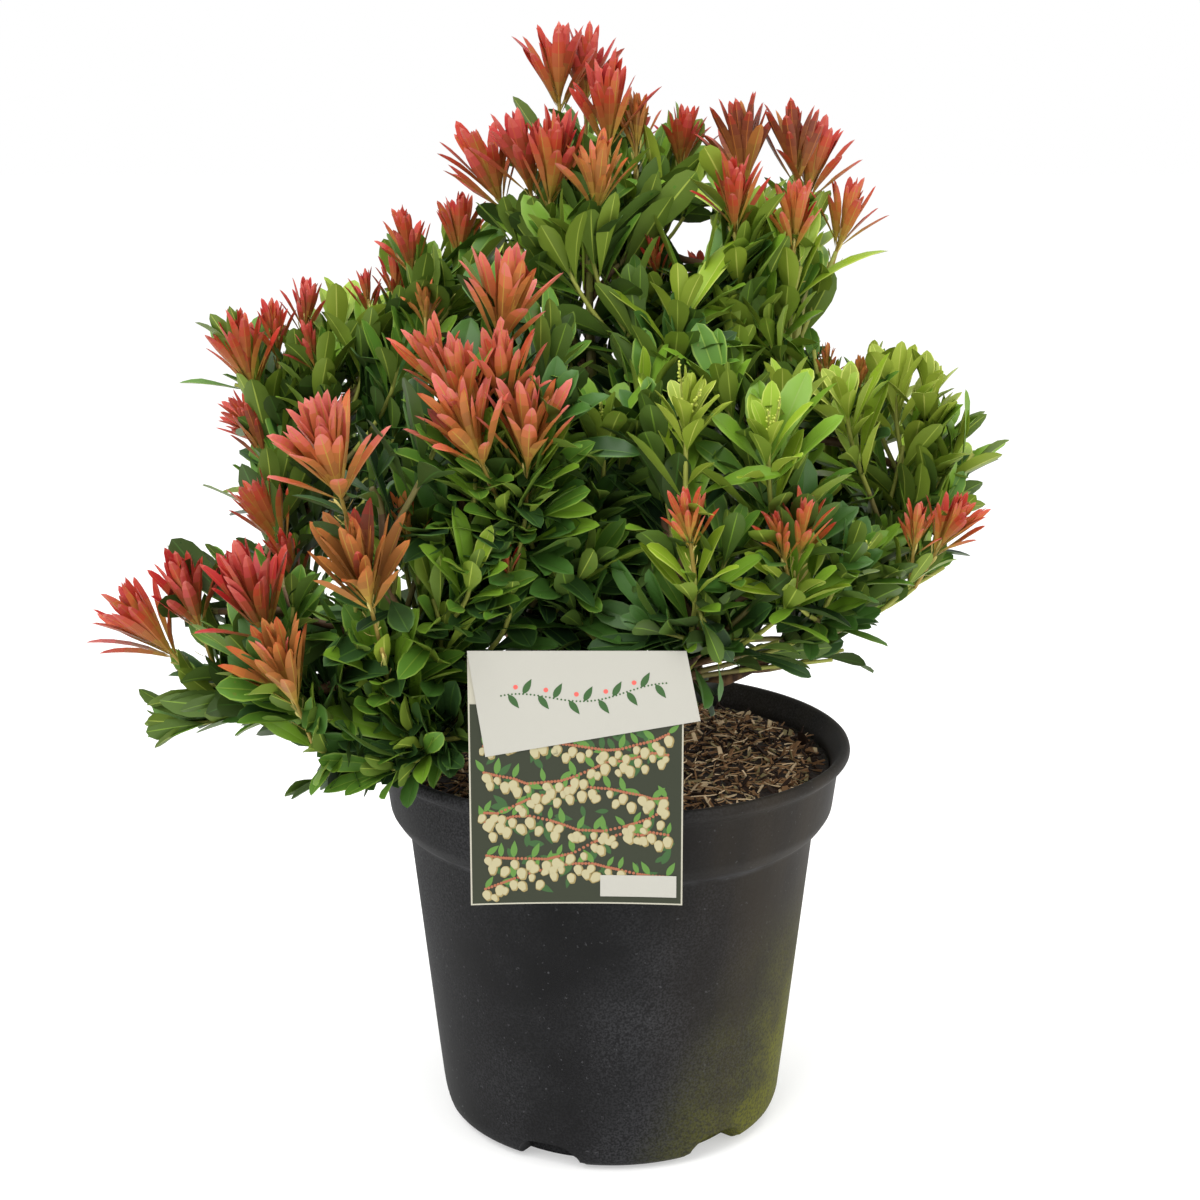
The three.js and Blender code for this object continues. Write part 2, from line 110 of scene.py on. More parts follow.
# Shoots that have flushed: where the rosette of young leaves stands in millimetres, how far it
# leans to +X in degrees, its size as a share of a usual one, and its tint.
ROSETTES = {
    "crest_tip": [
        (-29, 5, 554, -5, 1.03, "red"), (-11, 20, 557, 5, 0.95, "crimson"), (0, -12, 536, 1, 1.08, "red"),
    ],
    "crest_right": [
        (14, -8, 533, 4, 0.65, "orange"), (36, 18, 524, 5, 0.75, "red"), (22, -30, 471, -10, 0.45, "red"),
    ],
    "crest_left": [
        (-58, -10, 506, -22, 1.04, "red"), (-42, -25, 512, -10, 1.0, "crimson"),
        (-31, -35, 509, 4, 1.1, "red"),
    ],
    "crest_front": [(-7, -55, 505, 5, 0.9, "orange")],
    "shoulder_left_high": [
        (-80, 10, 479, 0, 0.8, "red"), (-103, 0, 472, -5, 0.75, "red"), (-116, 15, 453, -5, 0.55, "red"),
    ],
    "shoulder_left_mid": [
        (-127, 5, 449, -5, 0.5, "crimson"), (-94, -30, 446, 0, 0.5, "orange"),
        (-161, 10, 439, 5, 0.65, "crimson"), (-154, -10, 423, -10, 0.55, "crimson"),
    ],
    "shoulder_left_tip": [(-176, 5, 428, -5, 0.65, "red"), (-188, -5, 413, -10, 1.0, "red")],
    "left_middle": [
        (-182, -15, 375, -15, 0.75, "brown_red"), (-169, -45, 337, -20, 0.95, "coral"),
        (-163, -55, 318, -20, 0.7, "red"),
    ],
    "salmon_high": [
        (-49, -115, 446, 10, 1.15, "pink"), (-49, -128, 414, -5, 1.1, "salmon"),
        (-77, -118, 424, -15, 0.9, "salmon"),
    ],
    "salmon_left": [(-66, -136, 412, -8, 1.05, "salmon"), (-61, -144, 395, -18, 1.15, "pink")],
    "salmon_right": [(-37, -141, 393, 6, 1.15, "pink")],
    "spear_pink": [(-121, -152, 383, -3, 1.32, "pink")],
    "spear_bronze": [(-113, -148, 330, -8, 1.25, "bronze")],
    "low_left_crimson": [(-170, -115, 304, -15, 1.25, "crimson")],
    "low_left_tip": [(-207, -80, 302, -12, 1.05, "crimson"), (-224, -82, 285, -36, 1.14, "red")],
    "low_left_front": [(-153, -132, 277, -15, 1.15, "orange")],
    "front_left": [(-95, -120, 352, -5, 0.6, "orange")],
    "front_core": [(-48, -125, 338, 0, 0.35, "crimson")],
    "front_right": [(37, -142, 356, -5, 0.62, "coral")],
    "front_right_twin": [(79, -128, 347, -15, 0.55, "coral"), (90, -125, 347, 5, 0.75, "coral")],
    "spire_left": [(61, -35, 496, -3, 0.9, "red"), (69, -5, 516, -1, 1.08, "brown_red")],
    "spire_right": [
        (95, 5, 517, -3, 0.97, "brown_red"), (106, 8, 509, 14, 0.95, "red"), (92, -25, 485, 2, 0.8, "coral"),
        (120, 5, 484, 16, 0.86, "coral"),
    ],
    "right_shoulder": [(108, -25, 418, -5, 0.4, "orange"), (128, -15, 411, 5, 0.4, "orange")],
    "right_tip_low": [(154, -68, 338, 8, 0.6, "coral"), (166, -64, 337, 24, 0.82, "coral")],
}

YOUNG_MASSES = ("crest_tip", "crest_left", "salmon_", "spear_", "low_left_tip", "low_left_crimson")
BARE_MASSES = tuple(name for name in YOUNG_MASSES if name != "salmon_")
CLEAR_STEMS = ("crest_front", "spire_left", "spire_right")  # few leaves hide the stems under these
LEAFLESS = ("spear_pink", "spear_bronze")  # their stems carry only bracts below the rosette

# Shoots still in last year's leaf: foot of the whorl in millimetres, its lean in degrees, how
# dark it is from 0 to 5, and the length of its leaves in millimetres.
# The darkness column is painted shade: whorls low, under or inside the crown are darkest, those high and to
# the front right lightest.
WHORLS = {
    "crest_front": [(-17, -52, 452, -15, 2, 55), (-38, -32, 462, -28, 3, 48)],
    "crest_right": [
        (34, 0, 490, 22, 1, 54), (20, -8, 480, 28, 1, 56), (16, 5, 488, 10, 2, 53), (25, 22, 496, 22, 2, 48),
        (28, -5, 476, 30, 2, 46),
    ],
    "centre_high": [
        (42, -44, 446, 6, 2, 50), (50, -30, 446, 0, 3, 48), (-21, -18, 406, -3, 4, 48),
        (-4, -15, 410, 3, 5, 48), (-36, -25, 402, -5, 4, 46), (34, -62, 433, 0, 1, 52),
        (14, -50, 424, 0, 3, 46),
    ],
    "spire_left": [(72, -32, 451, -10, 1, 55), (66, -22, 440, -28, 3, 54), (64, -10, 436, -12, 3, 52)],
    "spire_right": [(91, -25, 451, 15, 1, 55), (110, -2, 457, 18, 2, 46)],
    "centre_mid": [(35, -118, 390, 0, 0, 48), (14, -85, 387, 5, 2, 46)],
    "centre_right": [(72, -118, 375, 5, 1, 53), (57, -85, 394, -10, 2, 46)],
    "right_high": [
        (44, -8, 440, -8, 4, 50), (54, 10, 450, 5, 4, 50), (80, -40, 418, -5, 2, 44),
        (101, -30, 409, 5, 2, 42), (62, -45, 411, 0, 2, 42),
    ],
    "right_shoulder": [
        (117, -55, 384, 0, 0, 48), (144, -22, 384, 5, 0, 48), (133, 0, 391, 8, 1, 44),
        (158, -20, 386, 16, 0, 42),
    ],
    "right_tip": [
        (156, -15, 357, 8, 0, 48), (167, -18, 350, 38, 1, 48), (163, 0, 351, 20, 2, 46),
        (149, -25, 359, 5, 2, 46), (180, -24, 356, 22, 2, 46),
    ],
    "right_tip_low": [
        (156, -42, 324, 30, 2, 46), (150, -30, 322, 58, 2, 50), (140, -40, 306, 60, 3, 46),
        (160, -36, 302, 42, 3, 44),
    ],
    "right_low": [(118, -64, 308, 12, 2, 48), (120, -44, 302, 30, 3, 46)],
    "front_right": [(50, -124, 306, 174, 4, 48), (52, -112, 322, 10, 3, 44)],
    "front_right_twin": [(107, -95, 312, 20, 3, 46)],
    "right_under": [
        (106, -24, 261, 68, 4, 46), (98, -34, 262, 80, 4, 46), (90, -72, 279, 50, 4, 46),
        (66, -88, 284, 70, 4, 42),
    ],
    "under_right": [(38, -115, 294, -60, 4, 46)],
    "front_core": [(-1, -102, 377, -10, 2, 48), (-42, -122, 352, 5, 3, 48), (-18, -95, 332, 15, 4, 46)],
    "front_left": [
        (-140, -50, 268, -5, 4, 46), (-102, -98, 330, -5, 4, 48), (-90, -98, 342, 0, 4, 46),
        (-106, -98, 310, -8, 4, 48), (-84, -90, 354, 5, 4, 46), (-64, -132, 315, -5, 2, 44),
        (-80, -120, 303, -15, 2, 46), (-101, -112, 315, -5, 2, 48),
    ],
    "front_low": [
        (-36, -40, 268, -5, 5, 46), (-16, -46, 270, 5, 5, 46), (22, -58, 312, 0, 5, 46),
        (16, -58, 292, -5, 5, 46), (32, -50, 300, 5, 5, 46), (-16, -95, 291, -10, 4, 48),
        (-24, -100, 317, 45, 3, 44),
    ],
    "low_left_under": [
        (-168, -72, 248, -82, 4, 48), (-158, -64, 243, -85, 4, 46), (-190, -74, 258, -70, 3, 46),
        (-200, -78, 240, -76, 3, 46), (-180, -66, 262, -50, 4, 44),
    ],
    "low_left_crimson": [(-153, -100, 293, -5, 3, 46), (-173, -95, 266, -10, 3, 44)],
    "rim_left": [
        (-84, -96, 224, -30, 5, 48), (-72, -92, 232, 5, 4, 46), (-92, -66, 236, -5, 5, 46),
        (-64, -104, 238, 20, 4, 44), (-91, -108, 226, -75, 3, 52), (-94, -100, 226, -10, 2, 52),
        (-120, -95, 236, -70, 4, 42), (-130, -90, 216, -78, 4, 44),
    ],
    "flank_left": [(-102, -112, 265, -25, 2, 50), (-132, -110, 249, -50, 3, 46), (-84, -100, 273, 5, 2, 48)],
    "shoulder_left_tip": [(-176, 0, 402, -48, 3, 46), (-182, 0, 396, -60, 3, 42), (-181, 0, 380, -15, 2, 48)],
    "shoulder_left_mid": [
        (-104, 10, 350, 0, 5, 46), (-146, 5, 396, -3, 2, 46), (-141, 5, 418, 0, 1, 46),
        (-108, -30, 370, -5, 4, 46), (-94, -40, 360, 0, 4, 46), (-118, -30, 348, -5, 4, 46),
        (-151, -12, 387, 0, 2, 48), (-126, -5, 405, -5, 2, 46), (-106, -40, 402, -5, 3, 46),
    ],
    "shoulder_left_high": [(-100, 0, 431, 0, 2, 48), (-77, -8, 444, 0, 2, 46)],
    "left_middle": [
        (-186, -42, 299, -28, 3, 46), (-182, -48, 292, -25, 3, 44), (-166, -22, 357, -25, 2, 46),
        (-172, -26, 338, -48, 3, 44),
    ],
    "salmon_high": [(-30, -100, 412, 10, 3, 44)],
    "salmon_left": [(-60, -132, 367, -10, 3, 44)],
    "salmon_right": [(-38, -128, 361, 0, 2, 46)],
}
# Sky shows through the crown along lines that fan out from one point in front of it: where each
# crosses the middle plane, in millimetres to +X and up, and its radius.
VIEWPOINT = np.array((0, -1066, 549)) * MM
OPENINGS = (
    (46, 484, 5), (38, 485, 4), (40, 477, 4), (54, 538, 3), (63, 528, 4), (24, 549, 4), (8, 571, 4),
    (19, 565, 3), (-20, 552, 2), (-37, 553, 4), (-57, 513, 2), (-76, 508, 5), (-91, 488, 2), (-107, 500, 8),
    (-117, 492, 4), (-123, 467, 3), (-47, 469, 2), (-10, 451, 2), (-212, 417, 4), (-204, 395, 4),
    (-201, 332, 6), (-208, 326, 3), (-208, 364, 7), (-110, 297, 4), (-142, 394, 2), (-230, 264, 4),
    (-174, 202, 4), (-176, 190, 3), (-196, 209, 5), (-220, 212, 3), (-158, 174, 5), (97, 242, 8),
    (109, 235, 5), (84, 243, 4), (86, 270, 3), (70, 246, 4), (127, 249, 3), (137, 265, 4), (162, 277, 8),
    (156, 288, 3), (180, 282, 11), (190, 324, 4), (205, 360, 4), (207, 386, 3), (150, 370, 3), (185, 411, 3),
    (202, 402, 5), (212, 400, 8), (86, 522, 3), (76, 550, 3), (114, 512, 3), (127, 507, 3), (118, 435, 4),
    (121, 444, 3), (124, 456, 4), (126, 469, 3), (140, 455, 15), (149, 441, 7), (-97, 493, 4), (190, 330, 4),
    (-203, 374, 3), (-248, 244, 5), (-250, 256, 5), (127, 426, 3), (184, 302, 5), (196, 387, 3),
    (120, 250, 3), (81, 553, 3),
)
OUTWARD_LEAN = 0.35  # how far a shoot that stands DEPTH_OF_LEAN off the middle tips outwards in depth
DEPTH_OF_LEAN = 140 * MM


# ---- colours

def linear(red, green, blue):
    """A colour as screens show it, from 0 to 255, in linear light."""
    shares = (value / 255 for value in (red, green, blue))
    return tuple(s / 12.92 if s <= 0.04045 else ((s + 0.055) / 1.055) ** 2.4 for s in shares)


def colour(name, description, *shown):
    """A colour property with its default given as screens show it."""
    return bpy.props.FloatVectorProperty(
        name=name, description=description, subtype="COLOR", size=3, min=0, max=1, default=linear(*shown),
    )


def amount(name, description, default, **more):
    """A number property: a length in metres, unless its subtype says otherwise."""
    more = more or {"unit": "LENGTH"}
    return bpy.props.FloatProperty(name=name, description=description, default=default, **more)


# A dress is what a leaf is painted with: the seven stretches of its upper side from foot to tip,
# the seven of its margins, its upper rib, the seven of its underside, and its lower rib. Two names
# with a plus are mixed evenly.
def green_dress(blade, under, rib, lower_rib):
    """A green leaf with margins as pale as its rib, and half as pale at its foot."""
    blade, under, rib, lower_rib = "blade_" + blade, "under_" + under, "rib_" + rib, "rib_" + lower_rib
    pale, under_pale = f"{blade}+{rib}", f"{under}+{lower_rib}"
    return (pale, *(blade,) * 6, *(rib,) * 7, rib, under_pale, *(under,) * 6, lower_rib)


def flush_dress(upper, rib, under, lower_rib):
    """A young leaf, its stretches given as one line of names for each side."""
    return (*upper.split(), *upper.split(), rib, *under.split(), lower_rib)


GREENS = {names[0]: green_dress(*names) for names in (
    ("lime", "lime", "lime", "lime"),
    ("bright", "bright", "bright", "lime"),
    ("fresh", "fresh", "fresh", "bright"),
    ("mid", "mid", "fresh", "bright"),
    ("deep", "deep", "dark", "fresh"),
    ("dark", "dark", "dark", "dark"),
    ("darkest", "dark", "dark", "dark"),
)}
FLUSHES = {
    "crimson": flush_dress("gold gold+russet russet russet+crimson crimson crimson crimson+rose", "coral",
                           "gold gold+russet russet russet+crimson crimson+rose rose rose+pink", "coral"),
    "red": flush_dress("gold gold gold+orange orange+red red red red+rose", "coral",
                       "gold gold+russet russet+orange russet+coral coral+red red+rose rose+pink", "orange"),
    "coral": flush_dress("gold gold gold+orange orange+coral coral coral+red rose", "gold",
                         "gold gold gold+orange orange orange+coral coral+rose rose+pink", "gold"),
    "salmon": flush_dress("gold gold+orange orange orange+coral coral+salmon salmon+rose rose+pink", "gold",
                          "gold gold gold+orange orange orange+salmon salmon+rose rose+pink", "gold"),
    "pink": flush_dress("gold gold+orange orange orange+coral salmon+rose rose+pink pink", "gold",
                        "gold gold+bronze bronze bronze+orange orange+salmon salmon+pink pink", "gold"),
    "orange": flush_dress("gold gold gold+bronze bronze+orange orange orange+coral coral", "gold",
                          "gold gold gold+bronze bronze bronze+orange orange orange+coral", "gold"),
    "bronze": flush_dress("gold gold+bronze bronze bronze bronze bronze+orange orange", "gold",
                          "gold gold+bronze bronze bronze bronze+orange bronze+orange orange", "gold"),
    "brown_red": flush_dress(
        "gold gold+bronze bronze+russet russet+brown_red brown_red brown_red+red red", "bronze",
        "gold gold+russet russet russet+brown_red brown_red brown_red+red rose", "orange"),
}
TINTS = tuple(FLUSHES)
BRACTS = ("bract",) * 23


class PierisPot(bpy.types.PropertyGroup):
    """The nursery pot, its compost and its wear."""

    plastic: colour("Plastic", "Black moulded plastic", 11, 11, 12)
    dust: colour("Dust", "Pale dust and splashes on the plastic", 60, 60, 62)
    silt: colour("Silt", "Brown silt dried on one side", 62, 53, 40)
    algae: colour("Algae", "Green algae low on the damp side", 98, 99, 27)
    compost: colour("Compost", "Moist peat", 24, 14, 8)
    chip_tan: colour("Tan chip", "Fresh bark chips", 212, 186, 148)
    chip_brown: colour("Brown chip", "Weathered bark chips", 132, 98, 66)
    chip_olive: colour("Olive chip", "Mossy bark chips", 140, 126, 88)
    chip_dark: colour("Dark chip", "Wet bark chips", 46, 30, 20)
    fibre: colour("Fibre", "Coir fibres", 158, 124, 86)
    chips: bpy.props.IntProperty(name="Chips", description="Bark chips on the compost", default=2600, min=0)
    fibres: bpy.props.IntProperty(name="Fibres", description="Fibres on the compost", default=900, min=0)


class PierisLabel(bpy.types.PropertyGroup):
    """The printed card that hangs on the rim."""

    card: colour("Card", "Bare card at the edges and on the back", 172, 168, 152)
    header: colour("Header", "Cream header of the card", 168, 166, 157)
    ground: colour("Ground", "Dark ground of the design", 44, 48, 34)
    bell: colour("Bell", "Cream blossom bells", 166, 158, 124)
    bell_shade: colour("Bell shade", "Shaded blossom bells", 140, 124, 80)
    leaf: colour("Leaf", "Leaves of the design", 84, 122, 54)
    leaf_dark: colour("Dark leaf", "Darker leaves of the design", 52, 84, 44)
    twig: colour("Twig", "Stems of the design", 150, 92, 66)
    accent: colour("Accent", "Coral dots of the design", 208, 92, 84)
    curl: amount("Curl", "How far the card's lower corners bow out", 2.5 * MM)


class PierisGrowth(bpy.types.PropertyGroup):
    """How the shrub branches and how its leaves are shaped."""

    seed: bpy.props.IntProperty(name="Seed", description="Start of the branching rule", default=42)
    spacing: amount("Spacing", "Nearest distance between two shoots", 29 * MM)
    leaf_length: amount("Leaf length", "Length of a usual mature leaf", 46 * MM)
    leaf_width: amount("Leaf width", "Its width as a share of its length", 0.275, subtype="FACTOR")
    flush_length: amount("Young leaf length", "Length of a young leaf in a usual rosette", 36 * MM)
    flush_width: amount("Young leaf width", "Its width as a share of its length", 0.165, subtype="FACTOR")


class PierisColours(bpy.types.PropertyGroup):
    """Plain colours of leaves, new growth and bark. The greens step from lit to shaded, partly by age and
    partly as painted shade.
    """

    # From lime to darkest the greens are partly the leaves' age and partly painted light and shade: lit
    # leaves take the pale steps, leaves deep or low in the crown the dark ones.
    blade_lime: colour("Lime blade", "Newest green leaves", 132, 148, 48)
    blade_bright: colour("Bright blade", "Sunlit green leaves", 130, 157, 38)
    blade_fresh: colour("Fresh blade", "Fresh green leaves", 104, 140, 36)
    blade_mid: colour("Middle blade", "Leaves in half shade", 80, 119, 37)
    blade_deep: colour("Deep blade", "Older leaves", 58, 95, 34)
    blade_dark: colour("Dark blade", "Leaves inside the crown", 44, 73, 32)
    blade_darkest: colour("Darkest blade", "Old leaves by the trunk", 24, 48, 22)
    # The undersides step from lit to shaded the same way, partly by age and partly as painted shade.
    under_lime: colour("Lime underside", "Underside of the newest leaves", 148, 164, 58)
    under_bright: colour("Bright underside", "Underside of sunlit leaves", 128, 146, 46)
    under_fresh: colour("Fresh underside", "Underside of fresh leaves", 110, 130, 42)
    under_mid: colour("Middle underside", "Underside in half shade", 94, 116, 42)
    under_deep: colour("Deep underside", "Underside of older leaves", 76, 100, 38)
    under_dark: colour("Dark underside", "Underside inside the crown", 56, 76, 30)
    rib_lime: colour("Pale rib", "Ribs of new leaves", 176, 184, 86)
    rib_bright: colour("Bright rib", "Ribs of sunlit leaves", 156, 172, 72)
    rib_fresh: colour("Rib", "Ribs of most leaves", 112, 142, 50)
    rib_dark: colour("Dark rib", "Ribs of old leaves", 66, 98, 40)
    gold: colour("Gold", "Foot of the youngest leaves", 172, 140, 60)
    orange: colour("Orange", "Young leaves turning", 178, 106, 52)
    coral: colour("Coral", "Young leaves", 182, 80, 46)
    salmon: colour("Salmon", "Soft young leaves", 198, 106, 78)
    pink: colour("Pink", "Pale young leaves", 198, 112, 102)
    russet: colour("Russet", "Backs of young leaves near their foot", 138, 82, 42)
    rose: colour("Rose", "Backs of young leaves", 188, 84, 74)
    red: colour("Red", "Young leaves in full colour", 168, 48, 33)
    crimson: colour("Crimson", "Deep young leaves", 166, 40, 38)
    bronze: colour("Bronze", "Young leaves greening", 150, 98, 48)
    brown_red: colour("Brown red", "Shaded young leaves", 120, 58, 38)
    bract: colour("Bract", "Small pale leaves on new stems", 206, 190, 112)
    bud: colour("Bud", "Flower buds", 176, 186, 78)
    stem_new: colour("New stem", "Stems of new growth", 156, 132, 64)
    stem_green: colour("Green stem", "Last year's stems", 146, 150, 68)
    stem_olive: colour("Olive stem", "Two year old stems", 116, 108, 62)
    stem_brown: colour("Brown stem", "Woody stems", 98, 74, 50)
    bark: colour("Bark", "Ridges of the bark", 128, 96, 64)
    fissure: colour("Fissure", "Cracks of the bark", 62, 43, 30)


def settings(group):
    """One of the shrub's groups of sizes and colours."""
    return getattr(bpy.context.scene, "pieris_" + group)


# ---- arithmetic on arrays

def unit(vectors):
    """Each vector divided by its length."""
    return vectors / np.maximum(np.linalg.norm(vectors, axis=-1, keepdims=True), 1e-12)


def mix(low, high, share):
    """low + (high - low) * share."""
    return low + (high - low) * share


def smooth(value, low, high):
    """0 below low and 1 above high, along 3 t^2 - 2 t^3 between them."""
    share = np.clip((value - low) / (high - low), 0, 1)
    return share * share * (3 - 2 * share)


def across(vectors, guide):
    """The part of each guide that stands square on its vector, at unit length."""
    return unit(guide - (guide * vectors).sum(-1, keepdims=True) * vectors)


def bezier(points, share):
    """Cubic curve: (1-t)^3 P0 + 3 (1-t)^2 t P1 + 3 (1-t) t^2 P2 + t^3 P3."""
    t = share[..., None]
    foot, first, second, tip = (points[..., index, :] for index in range(4))
    return (1 - t) ** 3 * foot + 3 * (1 - t) ** 2 * t * first + 3 * (1 - t) * t ** 2 * second + t ** 3 * tip


def bezier_way(points, share):
    """Direction of the cubic curve: its derivative at unit length."""
    t = share[..., None]
    steps = points[..., 1:, :] - points[..., :-1, :]
    first, second, third = (steps[..., index, :] for index in range(3))
    return unit((1 - t) ** 2 * first + 2 * (1 - t) * t * second + t ** 2 * third)


def ripple(places, frequency, octaves, rng):
    """Smooth unevenness from -1 to 1: sines over random directions, each octave twice as fine."""
    total = np.zeros(places.shape[:-1])
    for octave in range(octaves):
        for _ in range(3):
            way = unit(rng.normal(size=3)) * frequency * 2 ** octave
            total += np.sin(places @ way + rng.uniform(0, 2 * math.pi)) / 2 ** octave
    return total / (3 * (2 - 0.5 ** (octaves - 1)))


def turned(x, y, angle):
    """x cos a - y sin a and x sin a + y cos a."""
    return x * np.cos(angle) - y * np.sin(angle), x * np.sin(angle) + y * np.cos(angle)


# ---- meshes from arrays

class Pattern:
    """Faces of one small closed shape: its corners, where each face starts, and each face's part."""

    def __init__(self, size, faces, parts):
        self.size = size
        self.corners = np.array([corner for face in faces for corner in face])
        self.starts = np.cumsum([0] + [len(face) for face in faces[:-1]])
        self.parts = np.array(parts)

    def shape(self, points, slots):
        """Points, corners, starts and slots of one copy for each row of points.

        slots is one number, a column of one for each copy, a row of one for each face, or all.
        """
        copy = np.arange(len(points))[:, None]
        corners = (self.corners[None] + copy * self.size).ravel()
        starts = (self.starts[None] + copy * len(self.corners)).ravel()
        return points, corners, starts, np.broadcast_to(slots, (len(points), len(self.starts))).ravel()


def grid_quads(rows, columns, closed):
    """Quads of a grid of rows by columns of points. Closed joins the last column to the first."""
    columns_of_quads = columns if closed else columns - 1
    row, column = np.meshgrid(np.arange(rows - 1), np.arange(columns_of_quads), indexing="ij")
    after = (column + 1) % columns
    quads = np.stack((row * columns + column, row * columns + after,
                      (row + 1) * columns + after, (row + 1) * columns + column), -1)
    return quads.reshape(-1, 4)


def rod_pattern(rings, sides):
    """A closed rod: rings of points and a point at each end. A face's part is its stretch of the rod."""
    foot, tip = rings * sides, rings * sides + 1
    quads = grid_quads(rings, sides, True)
    faces = [tuple(face) for face in quads]
    parts = [index // sides for index in range(len(faces))]
    for side in range(sides):
        after = (side + 1) % sides
        faces += [(foot, after, side), (tip, (rings - 1) * sides + side, (rings - 1) * sides + after)]
        parts += [0, rings - 2]
    return Pattern(rings * sides + 2, faces, parts)


def rods(middles, radii, sides):
    """Points of closed rods: rings middle + radius (cos a U + sin a V), with U and V square on the way."""
    way = unit(np.gradient(middles, axis=1))
    chord = unit(middles[:, -1] - middles[:, 0])
    beside = np.where(np.abs(chord[:, 2:]) > 0.8, np.array((1.0, 0.0, 0.0)), UP)
    first = across(way, np.broadcast_to(beside[:, None], way.shape))
    second = np.cross(way, first)
    turn = np.arange(sides) * 2 * math.pi / sides
    ring = np.cos(turn)[:, None] * first[:, :, None] + np.sin(turn)[:, None] * second[:, :, None]
    rings = middles[:, :, None] + radii[:, :, None, None] * ring
    ends = middles[:, [0, -1]]
    return np.concatenate((rings.reshape(len(middles), -1, 3), ends), axis=1)


def make_piece(name, shape, materials, replaced=(), hard=None, crease=None):
    """A mesh object from a shape's points, corners, starts and slots, riding on the shrub's one body.

    hard picks sharp edges from the two points of each, and crease makes those over so many degrees
    sharp. The piece stands for the replaced nodes, which are hidden.
    """
    points, corners, starts, slots = shape
    points = points.reshape(-1, 3)
    mesh = bpy.data.meshes.new(name)
    mesh.vertices.add(len(points))
    mesh.vertices.foreach_set("co", points.ravel())
    mesh.loops.add(len(corners))
    mesh.loops.foreach_set("vertex_index", np.asarray(corners, dtype=np.int32))
    mesh.polygons.add(len(starts))
    mesh.polygons.foreach_set("loop_start", np.asarray(starts, dtype=np.int32))
    for material in materials:
        mesh.materials.append(material)
    mesh.polygons.foreach_set("material_index", np.asarray(slots, dtype=np.int32))
    mesh.polygons.foreach_set("use_smooth", np.ones(len(starts), dtype=bool))
    mesh.update(calc_edges=True)
    if hard is not None:
        ends = np.empty(2 * len(mesh.edges), dtype=np.int32)
        mesh.edges.foreach_get("vertices", ends)
        mesh.edges.foreach_set("use_edge_sharp", hard(ends.reshape(-1, 2)))
    mesh.validate()
    if crease is not None:
        mesh.set_sharp_from_angle(angle=math.radians(crease))
    piece = bpy.data.objects.new(name, mesh)
    bpy.context.scene.collection.objects.link(piece)
    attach(piece, BODY)
    if replaced:
        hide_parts(*replaced)


def join_shapes(shapes):
    """Several shapes as one: points, corners, starts and slots, each counted on from those before."""
    points, corners, starts, slots = [], [], [], []
    point_count, corner_count = 0, 0
    for one_points, one_corners, one_starts, one_slots in shapes:
        one_points = one_points.reshape(-1, 3)
        points.append(one_points)
        corners.append(one_corners + point_count)
        starts.append(one_starts + corner_count)
        slots.append(one_slots)
        point_count += len(one_points)
        corner_count += len(one_corners)
    return tuple(np.concatenate(values) for values in (points, corners, starts, slots))


# ---- materials

def plain(name, shade, roughness=0.5, gloss=0.3):
    """A material of one plain colour, made once for each name."""
    if name in bpy.data.materials:
        return bpy.data.materials[name]
    material = bpy.data.materials.new(name)
    material.use_nodes = True
    shader = material.node_tree.nodes["Principled BSDF"]
    shader.inputs["Base Color"].default_value = (*shade, 1)
    shader.inputs["Roughness"].default_value = roughness
    shader.inputs["Specular IOR Level"].default_value = gloss
    return material


